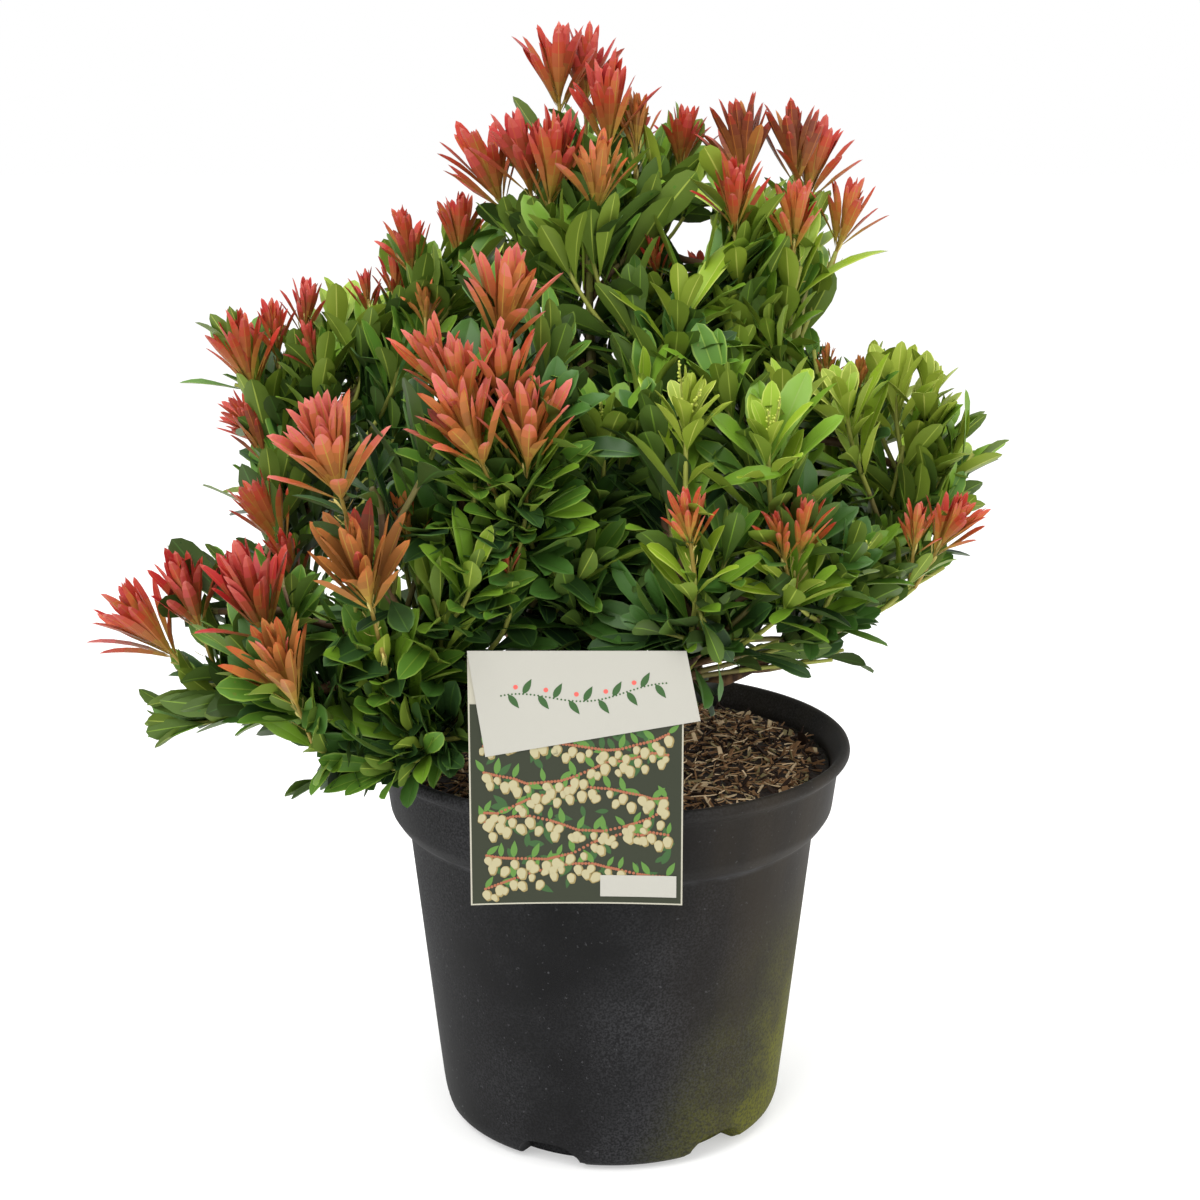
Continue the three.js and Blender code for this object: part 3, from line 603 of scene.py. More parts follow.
class Painter:
    """Short names for the nodes of one material's tree."""

    def __init__(self, name):
        self.material = bpy.data.materials.new(name)
        self.material.use_nodes = True
        self.tree = self.material.node_tree
        self.shader = self.tree.nodes["Principled BSDF"]
        self.place = self.node("ShaderNodeTexCoord").outputs["Object"]

    def node(self, kind, **values):
        """A new node with its properties set."""
        made = self.tree.nodes.new(kind)
        for key, value in values.items():
            setattr(made, key, value)
        return made

    def feed(self, socket, value):
        """A number or colour set on a socket, or another node's output linked to it."""
        if isinstance(value, bpy.types.NodeSocket):
            self.tree.links.new(value, socket)
        elif socket.type == "RGBA":
            socket.default_value = (*value, 1)
        else:
            socket.default_value = value

    def noise(self, scale, detail=4.0, stretch=(1, 1, 1), shift=(0, 0, 0)):
        """Noise over the object's own coordinates, stretched and shifted."""
        mapping = self.node("ShaderNodeMapping")
        self.feed(mapping.inputs["Vector"], self.place)
        mapping.inputs["Scale"].default_value = stretch
        mapping.inputs["Location"].default_value = shift
        noise = self.node("ShaderNodeTexNoise")
        self.feed(noise.inputs["Vector"], mapping.outputs["Vector"])
        noise.inputs["Scale"].default_value = scale
        noise.inputs["Detail"].default_value = detail
        return noise.outputs["Fac"]

    def axis(self, name):
        """X, Y or Z of the object's own coordinates."""
        split = self.node("ShaderNodeSeparateXYZ")
        self.feed(split.inputs["Vector"], self.place)
        return split.outputs[name]

    def between(self, value, low, high, to_low=0.0, to_high=1.0):
        """value from low..high brought smoothly to to_low..to_high."""
        node = self.node("ShaderNodeMapRange", interpolation_type="SMOOTHSTEP")
        self.feed(node.inputs["Value"], value)
        for key, number in (("From Min", low), ("From Max", high), ("To Min", to_low), ("To Max", to_high)):
            node.inputs[key].default_value = number
        return node.outputs["Result"]

    def maths(self, operation, first, second):
        """One sum of two numbers."""
        node = self.node("ShaderNodeMath", operation=operation)
        self.feed(node.inputs[0], first)
        self.feed(node.inputs[1], second)
        return node.outputs["Value"]

    def times(self, first, second):
        """The product of two numbers."""
        return self.maths("MULTIPLY", first, second)

    def blend(self, share, first, second):
        """first where share is 0, second where it is 1."""
        node = self.node("ShaderNodeMix", data_type="RGBA")
        self.feed(node.inputs[0], share)
        colours = [socket for socket in node.inputs if socket.type == "RGBA"]
        self.feed(colours[0], first)
        self.feed(colours[1], second)
        return next(socket for socket in node.outputs if socket.type == "RGBA")

    def coat(self, shade, roughness):
        """The surface's colour and roughness."""
        self.feed(self.shader.inputs["Base Color"], shade)
        self.feed(self.shader.inputs["Roughness"], roughness)

    def bump(self, height, strength, distance):
        """Relief too fine for the mesh."""
        node = self.node("ShaderNodeBump")
        self.feed(node.inputs["Height"], height)
        node.inputs["Strength"].default_value = strength
        node.inputs["Distance"].default_value = distance
        self.feed(self.shader.inputs["Normal"], node.outputs["Normal"])


# ---- how the shrub grows

LIMB_REACHES = 0.8  # a mass with a limb this share of its reach from its middle needs no branch
HUB_DEPTH = 0.75  # a mass's hub stands this share of its reach back towards the trunk
SAMPLES_PER_BRANCH = 6  # places on each limb or branch from which more wood may start
BACKWARDS_COST = 2  # what going back towards the trunk or down costs a branch, times the distance
SHOOT_TRIES = 130  # places tried in each mass, first near its surface and then inside
LEAF_REACH = 25 * MM  # how far inside its mass a shoot stands, for the reach of its leaves
OPENING_ROOM = 14 * MM  # how far from the edge of an opening a dealt shoot stands
SHOOT_MIDDLE = 30 * MM  # from a shoot's foot to the middle of its leaves
SHOOT_REACH = 62 * MM  # from a shoot's foot to beyond its leaves
INNER_SPACING = 0.76  # how much closer shoots stand inside a mass
TWIG_REACH = 78 * MM  # how far a shoot likes to stand from where its twig leaves the wood
TURN_COST = 70 * MM  # what a twig that sets out backwards costs against one of that length
BLOCKED_COST = 120 * MM  # what wood that crosses an opening costs
SWAY = 3.5 * MM  # how far the points that shape a twig's curve are scattered
WHORL_RISE = 18 * MM  # from the foot of a whorl to the bud at its top
HEART = 15 * MM  # radius round the middle of a usual rosette that no green leaf covers
HANGING_LEAN = 120  # degrees of lean past which a whorl hangs and carries few leaves
CROWN_MIDDLE = np.array((0, 0, 0.33))  # shoots grow away from here
DEALT_TINTS = ("red", "crimson", "coral", "salmon", "orange")
GOLDEN_ANGLE = math.pi * (3 - math.sqrt(5))  # between one leaf and the next round a twig
HANGING_SPREAD = 0.35  # how much closer to its twig a hanging leaf stays
DEEPEST = -0.1  # a leaf's fall per length from which it hangs no further than a fifth as much
MARGIN = 5 * MM  # how far leaves may reach out of their masses
SHORTER = (0.62, 0.74, 0.87, 1.0)  # lengths that are tried for a leaf, as shares


def trunk_middle(height):
    """Middle of the trunk at a height in millimetres, on the straight line from foot to fork."""
    foot, fork = np.array(TRUNK["foot"], float), np.array(TRUNK["fork"], float)
    return mix(foot, fork, (height - foot[2]) / (fork[2] - foot[2])) * MM


def limb_curve(start, end):
    """A limb's quadratic curve, whose middle point is mixed axis by axis, written as a cubic one."""
    bend = mix(start, end, np.array(LIMB_BEND))
    return np.stack((start, mix(start, bend, 2 / 3), mix(end, bend, 2 / 3), end))


def limb_curves():
    """Curves of all boughs and stems, with their radii at foot and tip in metres."""
    curves, radii = [], []
    for bough in BOUGHS.values():
        curves.append(limb_curve(trunk_middle(bough["leaves"]), np.array(bough["to"]) * MM))
        radii.append((bough["foot"] * MM, bough["tip"] * MM))
    for stem in STEMS.values():
        curves.append(limb_curve(np.array(stem["from"]) * MM, np.array(stem["to"]) * MM))
        radii.append((stem["foot"] * MM, stem["tip"] * MM))
    return np.array(curves), np.array(radii)


def branch_curve(start, way, hub, growth):
    """A cubic curve that leaves the wood along its way and comes into a hub along the mass's growth."""
    length = np.linalg.norm(hub - start, axis=-1, keepdims=True)
    points = (start, start + way * 0.3 * length, hub - growth * 0.35 * length, hub)
    return np.stack(np.broadcast_arrays(*points), -2)


def twig_curve(foot, way, tip, tip_way):
    """A cubic curve that leaves the wood between its way and the tip and ends along the shoot's way."""
    length = np.linalg.norm(tip - foot, axis=-1, keepdims=True)
    towards = unit(tip - foot)
    first = foot + (way * 0.15 + towards * 0.2) * length
    second = tip - unit(tip_way * 1.6 + towards) * 0.38 * length
    return np.stack(np.broadcast_arrays(foot, first, second, tip), -2)


def grow_branches():
    """Curves of the branches, the masses they belong to, and places and ways along all wood.

    Each mass that no limb reaches has a hub, which joins the nearest wood that lies behind it. The
    cost of joining is the distance, with level distance counted half as much again, plus twice how
    far the wood lies beyond the hub or above it, plus BLOCKED_COST if its curve crosses an opening.
    """
    growth = unit(MASS_MIDDLE - CROWN_FOOT)
    reach = 1 / np.linalg.norm(growth / MASS_HALF, axis=1)
    hubs = MASS_MIDDLE - growth * (reach * HUB_DEPTH)[:, None]
    limbs, _ = limb_curves()
    share = np.linspace(0.45, 1, SAMPLES_PER_BRANCH)
    places = list(bezier(limbs[:, None], share).reshape(-1, 3))
    ways = list(bezier_way(limbs[:, None], share).reshape(-1, 3))
    off = np.linalg.norm((np.array(places)[:, None] - MASS_MIDDLE) / MASS_HALF, axis=2).min(0)
    waiting = set(np.flatnonzero(off > LIMB_REACHES).tolist())
    masses, curves = [], []
    while waiting:
        order = np.array(sorted(waiting))
        apart = hubs[order, None] - np.array(places)[None]
        beyond = np.maximum(-(apart * growth[order, None]).sum(-1), 0) + np.maximum(-apart[..., 2], 0)
        cost = np.linalg.norm(apart * (1.5, 1.5, 1.0), axis=-1) + BACKWARDS_COST * beyond
        ends = hubs[order, None], growth[order, None]
        options = branch_curve(np.array(places)[None], np.array(ways)[None], *ends)
        cost += BLOCKED_COST * blocked(options)
        row, column = np.unravel_index(cost.argmin(), cost.shape)
        mass, curve = order[row], options[row, column]
        share = np.linspace(0.35, 1, SAMPLES_PER_BRANCH)
        places += list(bezier(curve, share))
        ways += list(bezier_way(curve, share))
        masses.append(mass)
        curves.append(curve)
        waiting.remove(mass)
    return np.array(curves), np.array(masses), np.array(places), np.array(ways)


def leaning(lean, depth):
    """Directions that lean to +X by degrees and outwards with their distance in depth from the middle."""
    lean = np.radians(np.asarray(lean, float))
    outward = OUTWARD_LEAN * np.asarray(depth) / DEPTH_OF_LEAN
    return unit(np.stack((np.sin(lean), outward, np.cos(lean)), -1))


def placed_shoots(growth):
    """Shoots from the two tables as a dictionary of whole arrays."""
    flushed = [(MASSES.index(name), *row) for name, rows in ROSETTES.items() for row in rows]
    leafy = [(MASSES.index(name), *row) for name, rows in WHORLS.items() for row in rows]
    bare = [MASSES.index(name) for name in LEAFLESS]
    mass, *places, lean, size, tint = (np.array(column) for column in zip(*flushed))
    rosette = np.stack(places, -1) * MM
    way = leaning(lean, rosette[:, 1])
    stem = mix(21 * MM, 31 * MM, smooth(size, 0.4, 0.9)) * np.maximum(size, 1)
    # Painted light: the green leaves under a rosette are lighter the further it stands to +X.
    tone = mix(2.5, 1.3, smooth(rosette[:, 0], -30 * MM, 50 * MM))
    leafy_mass, *places, lean, dark, length = (np.array(column) for column in zip(*leafy))
    foot = np.stack(places, -1) * MM
    leafy_way = leaning(lean, foot[:, 1])
    hanging = np.abs(lean) > HANGING_LEAN
    no, none = np.zeros(len(flushed), dtype=bool), np.zeros(len(leafy))
    return {
        "tip": np.concatenate((rosette - way * stem[:, None], foot + leafy_way * WHORL_RISE)),
        "way": np.concatenate((way, leafy_way)),
        "mass": np.concatenate((mass, leafy_mass)),
        "leaf": np.concatenate((growth.leaf_length * mix(0.8, 1.0, smooth(size, 0.4, 1.0)), length * MM)),
        "broad": np.ones(len(mass) + len(leafy)),
        "tone": np.concatenate((tone, dark)),
        "count": np.concatenate((np.where(np.isin(mass, bare), 0, 11), np.where(hanging, 4, 14))),
        "tint": np.concatenate(([TINTS.index(name) for name in tint], none.astype(int) - 1)),
        "size": np.concatenate((size, none + 1)),
        "stem": np.concatenate((stem, none)),
        "listed": np.ones(len(mass) + len(leafy), dtype=bool),
        "hanging": np.concatenate((no, hanging)),
    }


def filled_shoots(growth, placed, rng):
    """More shoots in every mass, at random but no nearer to each other than the spacing.

    A place is the mass's middle plus a random direction times a share of its half sizes less a
    leaf's reach. After the outer ones, dark ones fill the inside. A mass that is in the tables has
    only dark ones in front of its middle, well behind its listed shoots, and young masses that
    stand against the sky have none at all. Places near an opening or in front of a rosette are left.
    """
    taken, hearts = list(placed["tip"]), rosette_hearts(placed)
    outer = unit(MASS_MIDDLE - CROWN_MIDDLE)
    listed = {name for table in (ROSETTES, WHORLS) for name in table}
    found = []
    for index, inside in [(index, inside) for inside in (False, True) for index in range(len(MASSES))]:
        name = MASSES[index]
        if name.startswith(BARE_MASSES if inside else YOUNG_MASSES):
            continue
        room = np.maximum(MASS_HALF[index] - LEAF_REACH, LEAF_REACH / 5)
        spacing = growth.spacing * (INNER_SPACING if inside else 1)
        for direction in unit(rng.normal(size=(SHOOT_TRIES, 3))):
            dark = inside or (name in listed and direction[1] < 0)
            if name in CLEAR_STEMS and direction[1] < -0.2:
                continue
            share = rng.uniform(0.1, 0.7) if dark else rng.uniform(0.75, 1.0)
            place = MASS_MIDDLE[index] + direction * room * share
            if np.linalg.norm(np.array(taken) - place, axis=1).min() < spacing:
                continue
            if (off_openings(place) < OPENING_ROOM).any():
                continue
            way = unit(direction * 0.55 + outer[index] * 0.45 + UP * 0.75 + rng.normal(size=3) * 0.12)
            if covering(place + way * SHOOT_MIDDLE, hearts):
                continue
            beyond = place + way * SHOOT_REACH
            hidden = dark or (np.linalg.norm((beyond - MASS_MIDDLE) / MASS_HALF, axis=1) < 0.95).any()
            young = not hidden and way[2] > 0.55 and place[1] > 10 * MM and place[2] > 0.3 and \
                rng.random() < flush_chance(place)
            size = rng.uniform(0.6, 1.05) if young else 1.0
            stem = mix(20, 28, smooth(size, 0.4, 0.9)) * MM if young else 0.0
            taken.append(place)
            leaf = growth.leaf_length * rng.uniform(0.92, 1.1)
            # Painted light and shade: shoots are made lighter towards +X, and hidden ones inside the crown
            # darker.
            painted_light = 0.6 * float(smooth(place[0], 0, 120 * MM))
            tone = (rng.uniform(3.4, 4.6) if hidden else rng.uniform(0.8, 2.8)) - painted_light
            tint = TINTS.index(rng.choice(DEALT_TINTS)) if young else -1
            found.append((place - way * (stem * 0.6), way, index, leaf, 1.2 if hidden else 1.0, tone,
                          11 if hidden else 12, tint, size, stem, False, False))
    return {key: np.concatenate((placed[key], np.array(column))) for key, column in zip(placed, zip(*found))}


def on_middle_plane(places):
    """Where the lines from the viewpoint through places cross the middle plane."""
    depth = 1 - places[..., 1] / VIEWPOINT[1]
    x = VIEWPOINT[0] + (places[..., 0] - VIEWPOINT[0]) / depth
    z = VIEWPOINT[2] + (places[..., 2] - VIEWPOINT[2]) / depth
    return x, z


def rosette_hearts(shoots):
    """Middle and radius of the heart of every listed rosette."""
    young = shoots["listed"] & (shoots["tint"] >= 0)
    radius = HEART * shoots["size"][young]
    return shoots["tip"][young] + shoots["way"][young] * (shoots["stem"][young] + radius)[:, None], radius


def covering(places, hearts):
    """True for each place that stands in front of a rosette's heart, seen from the viewpoint."""
    middle, radius = hearts
    (x, z), (heart_x, heart_z) = on_middle_plane(places), on_middle_plane(middle)
    over = np.hypot(x[..., None] - heart_x, z[..., None] - heart_z) < radius
    return (over & (places[..., 1, None] < middle[:, 1] - HEART / 4)).any(-1)


def off_openings(places):
    """How far places stand from the edge of each opening, with the openings first.

    Both are taken to the middle plane along lines from the viewpoint.
    """
    x, z = on_middle_plane(places)
    middle_x, middle_z, radius = (np.array(OPENINGS) * MM).T.reshape(3, -1, *(1,) * (places.ndim - 1))
    return np.hypot(x - middle_x, z - middle_z) - radius


def blocked(curves):
    """True where a curve crosses an opening, tried at six places along it."""
    crossed = [(off_openings(bezier(curves, np.full(curves.shape[:-2], share))) < 0).any(0)
               for share in (0.15, 0.3, 0.45, 0.6, 0.75, 0.9)]
    return np.any(crossed, axis=0)


def flush_chance(place):
    """New growth is commoner high up and on the left: a share that rises from 0.15 to 0.8."""
    return float(mix(0.15, 0.8, smooth(place[2] * 1.2 - place[0], 0.3, 0.75)))


def grow_twigs(shoots, places, ways, rng):
    """A cubic curve for each shoot, from the wood that suits it best up to its bud.

    The cost of a start is how far its distance is from TWIG_REACH, plus TURN_COST times one less
    the cosine between the shoot's way and the way from the start, plus BLOCKED_COST if its curve
    crosses an opening.
    """
    apart = shoots["tip"][:, None] - places[None]
    distance = np.linalg.norm(apart, axis=-1)
    facing = (unit(apart) * shoots["way"][:, None]).sum(-1)
    options = twig_curve(places[None], ways[None], shoots["tip"][:, None], shoots["way"][:, None])
    crossing = BLOCKED_COST * blocked(options)
    start = (np.abs(distance - TWIG_REACH) + TURN_COST * (1 - facing) + crossing).argmin(1)
    curves = options[np.arange(len(start)), start]
    sway = rng.normal(size=(2, len(start), 3)) * SWAY
    curves[:, 1] += sway[0]
    curves[:, 2] += sway[1] * 0.4
    return curves


def curve_lengths(curves):
    """Length of each cubic curve: half of its chord and half of its control polygon."""
    chord = np.linalg.norm(curves[:, 3] - curves[:, 0], axis=1)
    polygon = np.linalg.norm(np.diff(curves, axis=1), axis=2).sum(1)
    return (chord + polygon) / 2


def grow(growth):
    """The whole plan of the shrub: branches, shoots, twigs and stems of new growth."""
    if growth.seed not in PLANS:
        rng = np.random.default_rng(growth.seed)
        branches, owners, places, ways = grow_branches()
        shoots = filled_shoots(growth, placed_shoots(growth), rng)
        twigs = grow_twigs(shoots, places, ways, rng)
        flushed = np.flatnonzero(shoots["tint"] >= 0)
        way = unit(shoots["way"][flushed] + rng.normal(size=(len(flushed), 3)) * 0.05)
        foot, stem = shoots["tip"][flushed], shoots["stem"][flushed][:, None]
        share = np.array((0.0, 1 / 3, 2 / 3, 1.0))[:, None]
        stems = foot[:, None] + (way * stem)[:, None] * share
        PLANS[growth.seed] = {"branches": branches, "owners": owners, "shoots": shoots, "twigs": twigs,
                              "flushed": flushed, "stems": stems}
    return PLANS[growth.seed]


PLANS = {}


# ---- leaves

LEAF_ROWS = np.array((0.10, 0.30, 0.50, 0.68, 0.83, 0.945))  # shares of the length between foot and tip
RIB = 0.05  # half width of the rib as a share
UPPER = np.array((-1.0, -0.86, -RIB, RIB, 0.86, 1.0))  # from edge to edge on the upper side
LOWER = np.array((-1.2 * RIB, 1.2 * RIB))  # the rib's edges on the underside
STRETCHES = len(LEAF_ROWS) + 1
MARGIN_PART, RIB_PART = STRETCHES, 2 * STRETCHES
UNDER_PART, UNDER_RIB_PART = 2 * STRETCHES + 1, 3 * STRETCHES + 1


def leaf_pattern():
    """A closed leaf: foot point, tip point, and six rows of six upper and two lower points."""
    row = len(UPPER) + len(LOWER)
    upper = [2 + column for column in range(len(UPPER))]
    lower = [upper[0], upper[-1] + 1, upper[-1] + 2, upper[-1]]
    last = (len(LEAF_ROWS) - 1) * row
    faces, parts = [], []
    for stretch in range(STRETCHES):
        near, far = (stretch - 1) * row, stretch * row
        for ring, strip_parts, top in (
            (upper, (MARGIN_PART + stretch, stretch, RIB_PART, stretch, MARGIN_PART + stretch), True),
            (lower, (UNDER_PART + stretch, UNDER_RIB_PART, UNDER_PART + stretch), False),
        ):
            for strip, (one, other) in enumerate(zip(ring[:-1], ring[1:])):
                if stretch == 0:
                    face = (0, one, other)
                elif stretch == STRETCHES - 1:
                    face = (last + one, 1, last + other)
                else:
                    face = (near + one, far + one, far + other, near + other)
                faces.append(face if top else face[::-1])
                parts.append(strip_parts[strip])
    return Pattern(2 + row * len(LEAF_ROWS), faces, parts)


LEAF = leaf_pattern()
LEAF_SHARE = np.concatenate(((0.0, 1.0), np.repeat(LEAF_ROWS, len(UPPER) + len(LOWER))))
LEAF_ACROSS = np.concatenate(((0.0, 0.0), np.tile(np.concatenate((UPPER, LOWER)), len(LEAF_ROWS))))
LEAF_BELOW = np.concatenate(((0.0, 0.0), np.tile((0,) * len(UPPER) + (1,) * len(LOWER), len(LEAF_ROWS))))
LEAF_MARGIN = np.where(np.abs(LEAF_ACROSS) == 1, np.sign(LEAF_ACROSS), 0)


def leaf_surface(leaves):
    """Points of every leaf at once.

    The middle line bends evenly: foot + L (sin kt / k) along - L ((1 - cos kt) / k) up. Half the
    width is W (t/m)^a ((1-t)/(1-m))^b with m = a / (a + b), so it is W at t = m and nothing at both
    ends. A point c across stands at that width times c to the side, and is raised by a fold in
    |c|, a camber in |c| (1 - |c|) and a wave along each margin in c^2. The frame twists with t.
    """
    t, c = LEAF_SHARE[None], LEAF_ACROSS[None]
    get = {key: leaves[key][:, None] for key in
           ("length", "width", "fold", "bend", "twist", "wave", "phase", "foot_power", "tip_power")}
    bend = np.where(np.abs(get["bend"]) < 1e-3, 1e-3, get["bend"])
    ahead = get["length"] * np.sin(bend * t) / bend
    drop = get["length"] * (1 - np.cos(bend * t)) / bend
    widest = get["foot_power"] / (get["foot_power"] + get["tip_power"])
    half = get["width"] / 2 * (t / widest) ** get["foot_power"] * \
        ((1 - t) / (1 - widest)) ** get["tip_power"]
    half = np.maximum(half, 0.45 * MM * np.sign(c) ** 2 * (t < 0.1))
    along, up = leaves["along"][:, None], leaves["up"][:, None]
    side = np.cross(up, along)
    turned = (bend * t)[..., None]
    here_up = up * np.cos(turned) + along * np.sin(turned)
    twist = (get["twist"] * t)[..., None]
    twisted_side = side * np.cos(twist) + here_up * np.sin(twist)
    twisted_up = here_up * np.cos(twist) - side * np.sin(twist)
    wave = get["wave"] * np.sin(2 * math.pi * 1.6 * t + get["phase"] * np.sign(c)) * c * c
    camber = 0.6 * np.abs(c) * (1 - np.abs(c))
    thick = np.minimum(0.035 * get["width"] * (1.2 - t), 0.6 * MM) + 0.06 * MM
    raised = half * (get["fold"] * np.abs(c) + camber + wave) - thick * LEAF_BELOW[None]
    middle = leaves["foot"][:, None] + along * ahead[..., None] - up * drop[..., None]
    return middle + twisted_side * (half * c)[..., None] + twisted_up * raised[..., None]


def hard_margins(ends):
    """True for the edges that run along a leaf's margin, so that its two sides shade apart."""
    one, other = LEAF_MARGIN[ends[:, 0] % LEAF.size], LEAF_MARGIN[ends[:, 1] % LEAF.size]
    end_points = (ends % LEAF.size < 2).any(1)
    return (one * other > 0) | (end_points & (np.abs(one + other) == 1))


def whorl(curves, counts, rng, depth, spread, length, width, lift=0.35, bend=(0.16, 0.18), inner=0.7,
          rise=0.0, hanging=None, opened=None):
    """Leaves round the ends of curves, from the top of each down, a golden angle apart.

    depth, spread and bend are pairs: metres below the curve's end and degrees off its way, for the
    first and the last leaf, and mean and scatter of the bend. The first leaves of a curve can be opened
    by more degrees. A leaf goes way cos s + outwards sin s, raised by rise, and its upper side faces
    way sin s - outwards cos s, turned up by lift as it spreads. Returned with the number of each
    leaf's curve and its rank from 0 at the top to 1.
    """
    counts = np.asarray(counts)
    owner = np.repeat(np.arange(len(curves)), counts)
    order = np.arange(len(owner)) - np.repeat(np.cumsum(counts) - counts, counts)
    rank = order / np.maximum(counts[owner] - 1, 1)
    lengths = curve_lengths(curves)[owner]
    below = mix(depth[0], depth[1], rank) + rng.uniform(-1.5, 1.5, len(owner)) * MM
    share = 1 - np.maximum(below, 0) / lengths
    kept = share > 0.03
    owner, order, rank, share = owner[kept], order[kept], rank[kept], share[kept]
    foot = bezier(curves[owner], share)
    way = bezier_way(curves[owner], share)
    turn = rng.uniform(0, 2 * math.pi, len(curves))[owner] + order * GOLDEN_ANGLE + \
        rng.normal(0, 0.16, len(owner))
    first = across(way, np.broadcast_to(np.array((0.83, 0.31, 0.47)), way.shape))
    outwards = first * np.cos(turn)[:, None] + np.cross(way, first) * np.sin(turn)[:, None]
    first_spread = spread[0] + (0 if opened is None else opened[owner])
    free = np.zeros(len(owner), dtype=bool) if hanging is None else hanging[owner]
    angle = np.radians(mix(first_spread, spread[1], rank) + rng.normal(0, 6, len(owner)))[:, None]
    angle = np.where(free[:, None], angle * HANGING_SPREAD, angle)
    along = unit(way * np.cos(angle) + outwards * np.sin(angle) + UP * rise)
    size = length[owner] * mix(inner, 1.0, smooth(rank, 0, 0.4)) * rng.uniform(0.86, 1.1, len(owner))
    along = np.where(free[:, None], along, keep_clear(foot, along, size))
    facing = way * np.sin(angle) - outwards * np.cos(angle)
    up = across(along, facing + UP * lift * np.clip(angle, 0, 1.4))
    count = len(owner)
    width = np.broadcast_to(width, len(curves))[owner]
    return {
        "foot": foot + outwards * 0.8 * MM, "along": along, "up": up, "length": size,
        "width": size * width * rng.uniform(0.88, 1.1, count),
        "fold": rng.uniform(0.18, 0.42, count),
        "bend": rng.normal(bend[0], bend[1], count) + 0.14 * rank,
        "twist": rng.normal(0, 0.3, count), "wave": rng.uniform(0.02, 0.12, count),
        "phase": rng.uniform(0, 2 * math.pi, count),
        "foot_power": np.full(count, 1.6), "tip_power": rng.uniform(0.64, 0.84, count),
    }, owner, rank


def keep_clear(foot, along, length):
    """Leaf directions that hang little, with tips clear of the pot's rim and behind the label."""
    hang = np.minimum(along[:, 2] - DEEPEST, 0)
    along = unit(along - UP * (hang * 0.8)[:, None])
    tip = foot + along * length[:, None]
    over_pot = np.hypot(tip[:, 0], tip[:, 1]) < RIM_RADIUS + 28 * MM
    lift = np.where(over_pot, np.maximum(RIM_TOP + 12 * MM - tip[:, 2], 0), 0)
    by_label = (tip[:, 0] > CARD_LOW[0] - 12 * MM) & (tip[:, 0] < CARD_HIGH[0] + 18 * MM) & \
        (tip[:, 2] < CARD_HIGH[2] + 6 * MM)
    back = np.where(by_label, np.maximum(CARD_LOW[1] + 9 * MM - tip[:, 1], 0), 0)
    moved = along + np.stack((np.zeros_like(lift), back, lift), -1) / length[:, None]
    return unit(moved)


def fitted(leaves, listed, hearts):
    """Leaves kept within the crown and clear of openings and rosettes, and True for each that stays.

    A tip is within where ((tip - middle) / (half size + margin)) has length 1 or less for some mass.
    A leaf that would stand out is made shorter, and is dropped if its shortest still would, unless
    its shoot is in the tables.
    """
    scale = np.where(listed, SHORTER[0], 0.0)
    for share in SHORTER:
        tip = leaves["foot"] + leaves["along"] * (leaves["length"] * share)[:, None]
        off = (tip[:, None] - MASS_MIDDLE) / (MASS_HALF + MARGIN)
        scale = np.where(np.linalg.norm(off, axis=2).min(1) < 1, share, scale)
    leaves = {**leaves, "length": leaves["length"] * scale, "width": leaves["width"] * np.sqrt(scale)}
    share = np.array((0.1, 0.3, 0.5, 0.75, 1.0))[:, None, None]
    places = leaves["foot"] + leaves["along"] * leaves["length"][:, None] * share
    clear = (off_openings(places).min((0, 1)) > leaves["width"] * 0.4) & ~covering(places, hearts).any(0)
    kept = (scale > 0) & clear
    return {key: values[kept] for key, values in leaves.items()}, kept


def leaf_shape(leaves, dress):
    """All those leaves as one shape, each dressed by its row of numbers."""
    return LEAF.shape(leaf_surface(leaves), dress[:, LEAF.parts])


def dress_materials(dresses, colours, roughness):
    """Materials for every name in those dresses, and a table of their numbers by dress and part."""
    names = sorted({name for dress in dresses for name in dress})
    materials = []
    for name in names:
        shades = [tuple(getattr(colours, part)) for part in name.split("+")]
        materials.append(plain(name.replace("+", "_and_"), tuple(np.mean(shades, axis=0)), roughness))
    return materials, np.array([[names.index(name) for name in dress] for dress in dresses])


def stacked(groups):
    """Several groups of leaves as one dictionary of arrays."""
    return {key: np.concatenate([group[key] for group in groups]) for key in groups[0]}


# ---- pot and compost

POT_PROFILE = {  # radii and heights in millimetres, from the middle of the underside round to the floor
    "under": [(0, 0), (30, 0), (60, 0), (76.6, 0), (77.4, 0), (81, 0), (84.5, 0), (92, 5)],
    "body": [(94, 11), (97.6, 43), (101.7, 81), (105.8, 119), (111, 167)],
    "band": [(116, 170), (120.6, 177), (124, 203.5)],
    "lip": [(128, 205.5), (130, 208.5), (129, 212.5), (125.5, 212.5)],
    "inside": [(119.4, 202.5), (116.4, 177), (108.4, 164), (98.9, 80), (92.2, 17), (45, 17), (0, 17)],
}
POT_CORNER = 2.2  # how far in millimetres a corner of the profile is rounded off
POT_TURNS = 240
NOTCH = {"count": 6, "first": -52, "half_angle": 12.5, "height": 14.5, "inner": 77}


def rounded(profile, reach, steps=4):
    """A profile with each inner corner C made (1-t)^2 A + 2 (1-t) t C + t^2 B, with A and B near it."""
    points = np.array(profile, float)
    corner = points[1:-1]
    before, after = points[:-2] - corner, points[2:] - corner
    back, ahead = (np.linalg.norm(side, axis=1, keepdims=True) for side in (before, after))
    start = corner + before / back * np.minimum(reach, back * 0.4)
    end = corner + after / ahead * np.minimum(reach, ahead * 0.4)
    t = np.linspace(0, 1, steps)[None, :, None]
    curve = (1 - t) ** 2 * start[:, None] + 2 * (1 - t) * t * corner[:, None] + t ** 2 * end[:, None]
    return np.concatenate((points[:1], curve.reshape(-1, 2), points[-1:]))


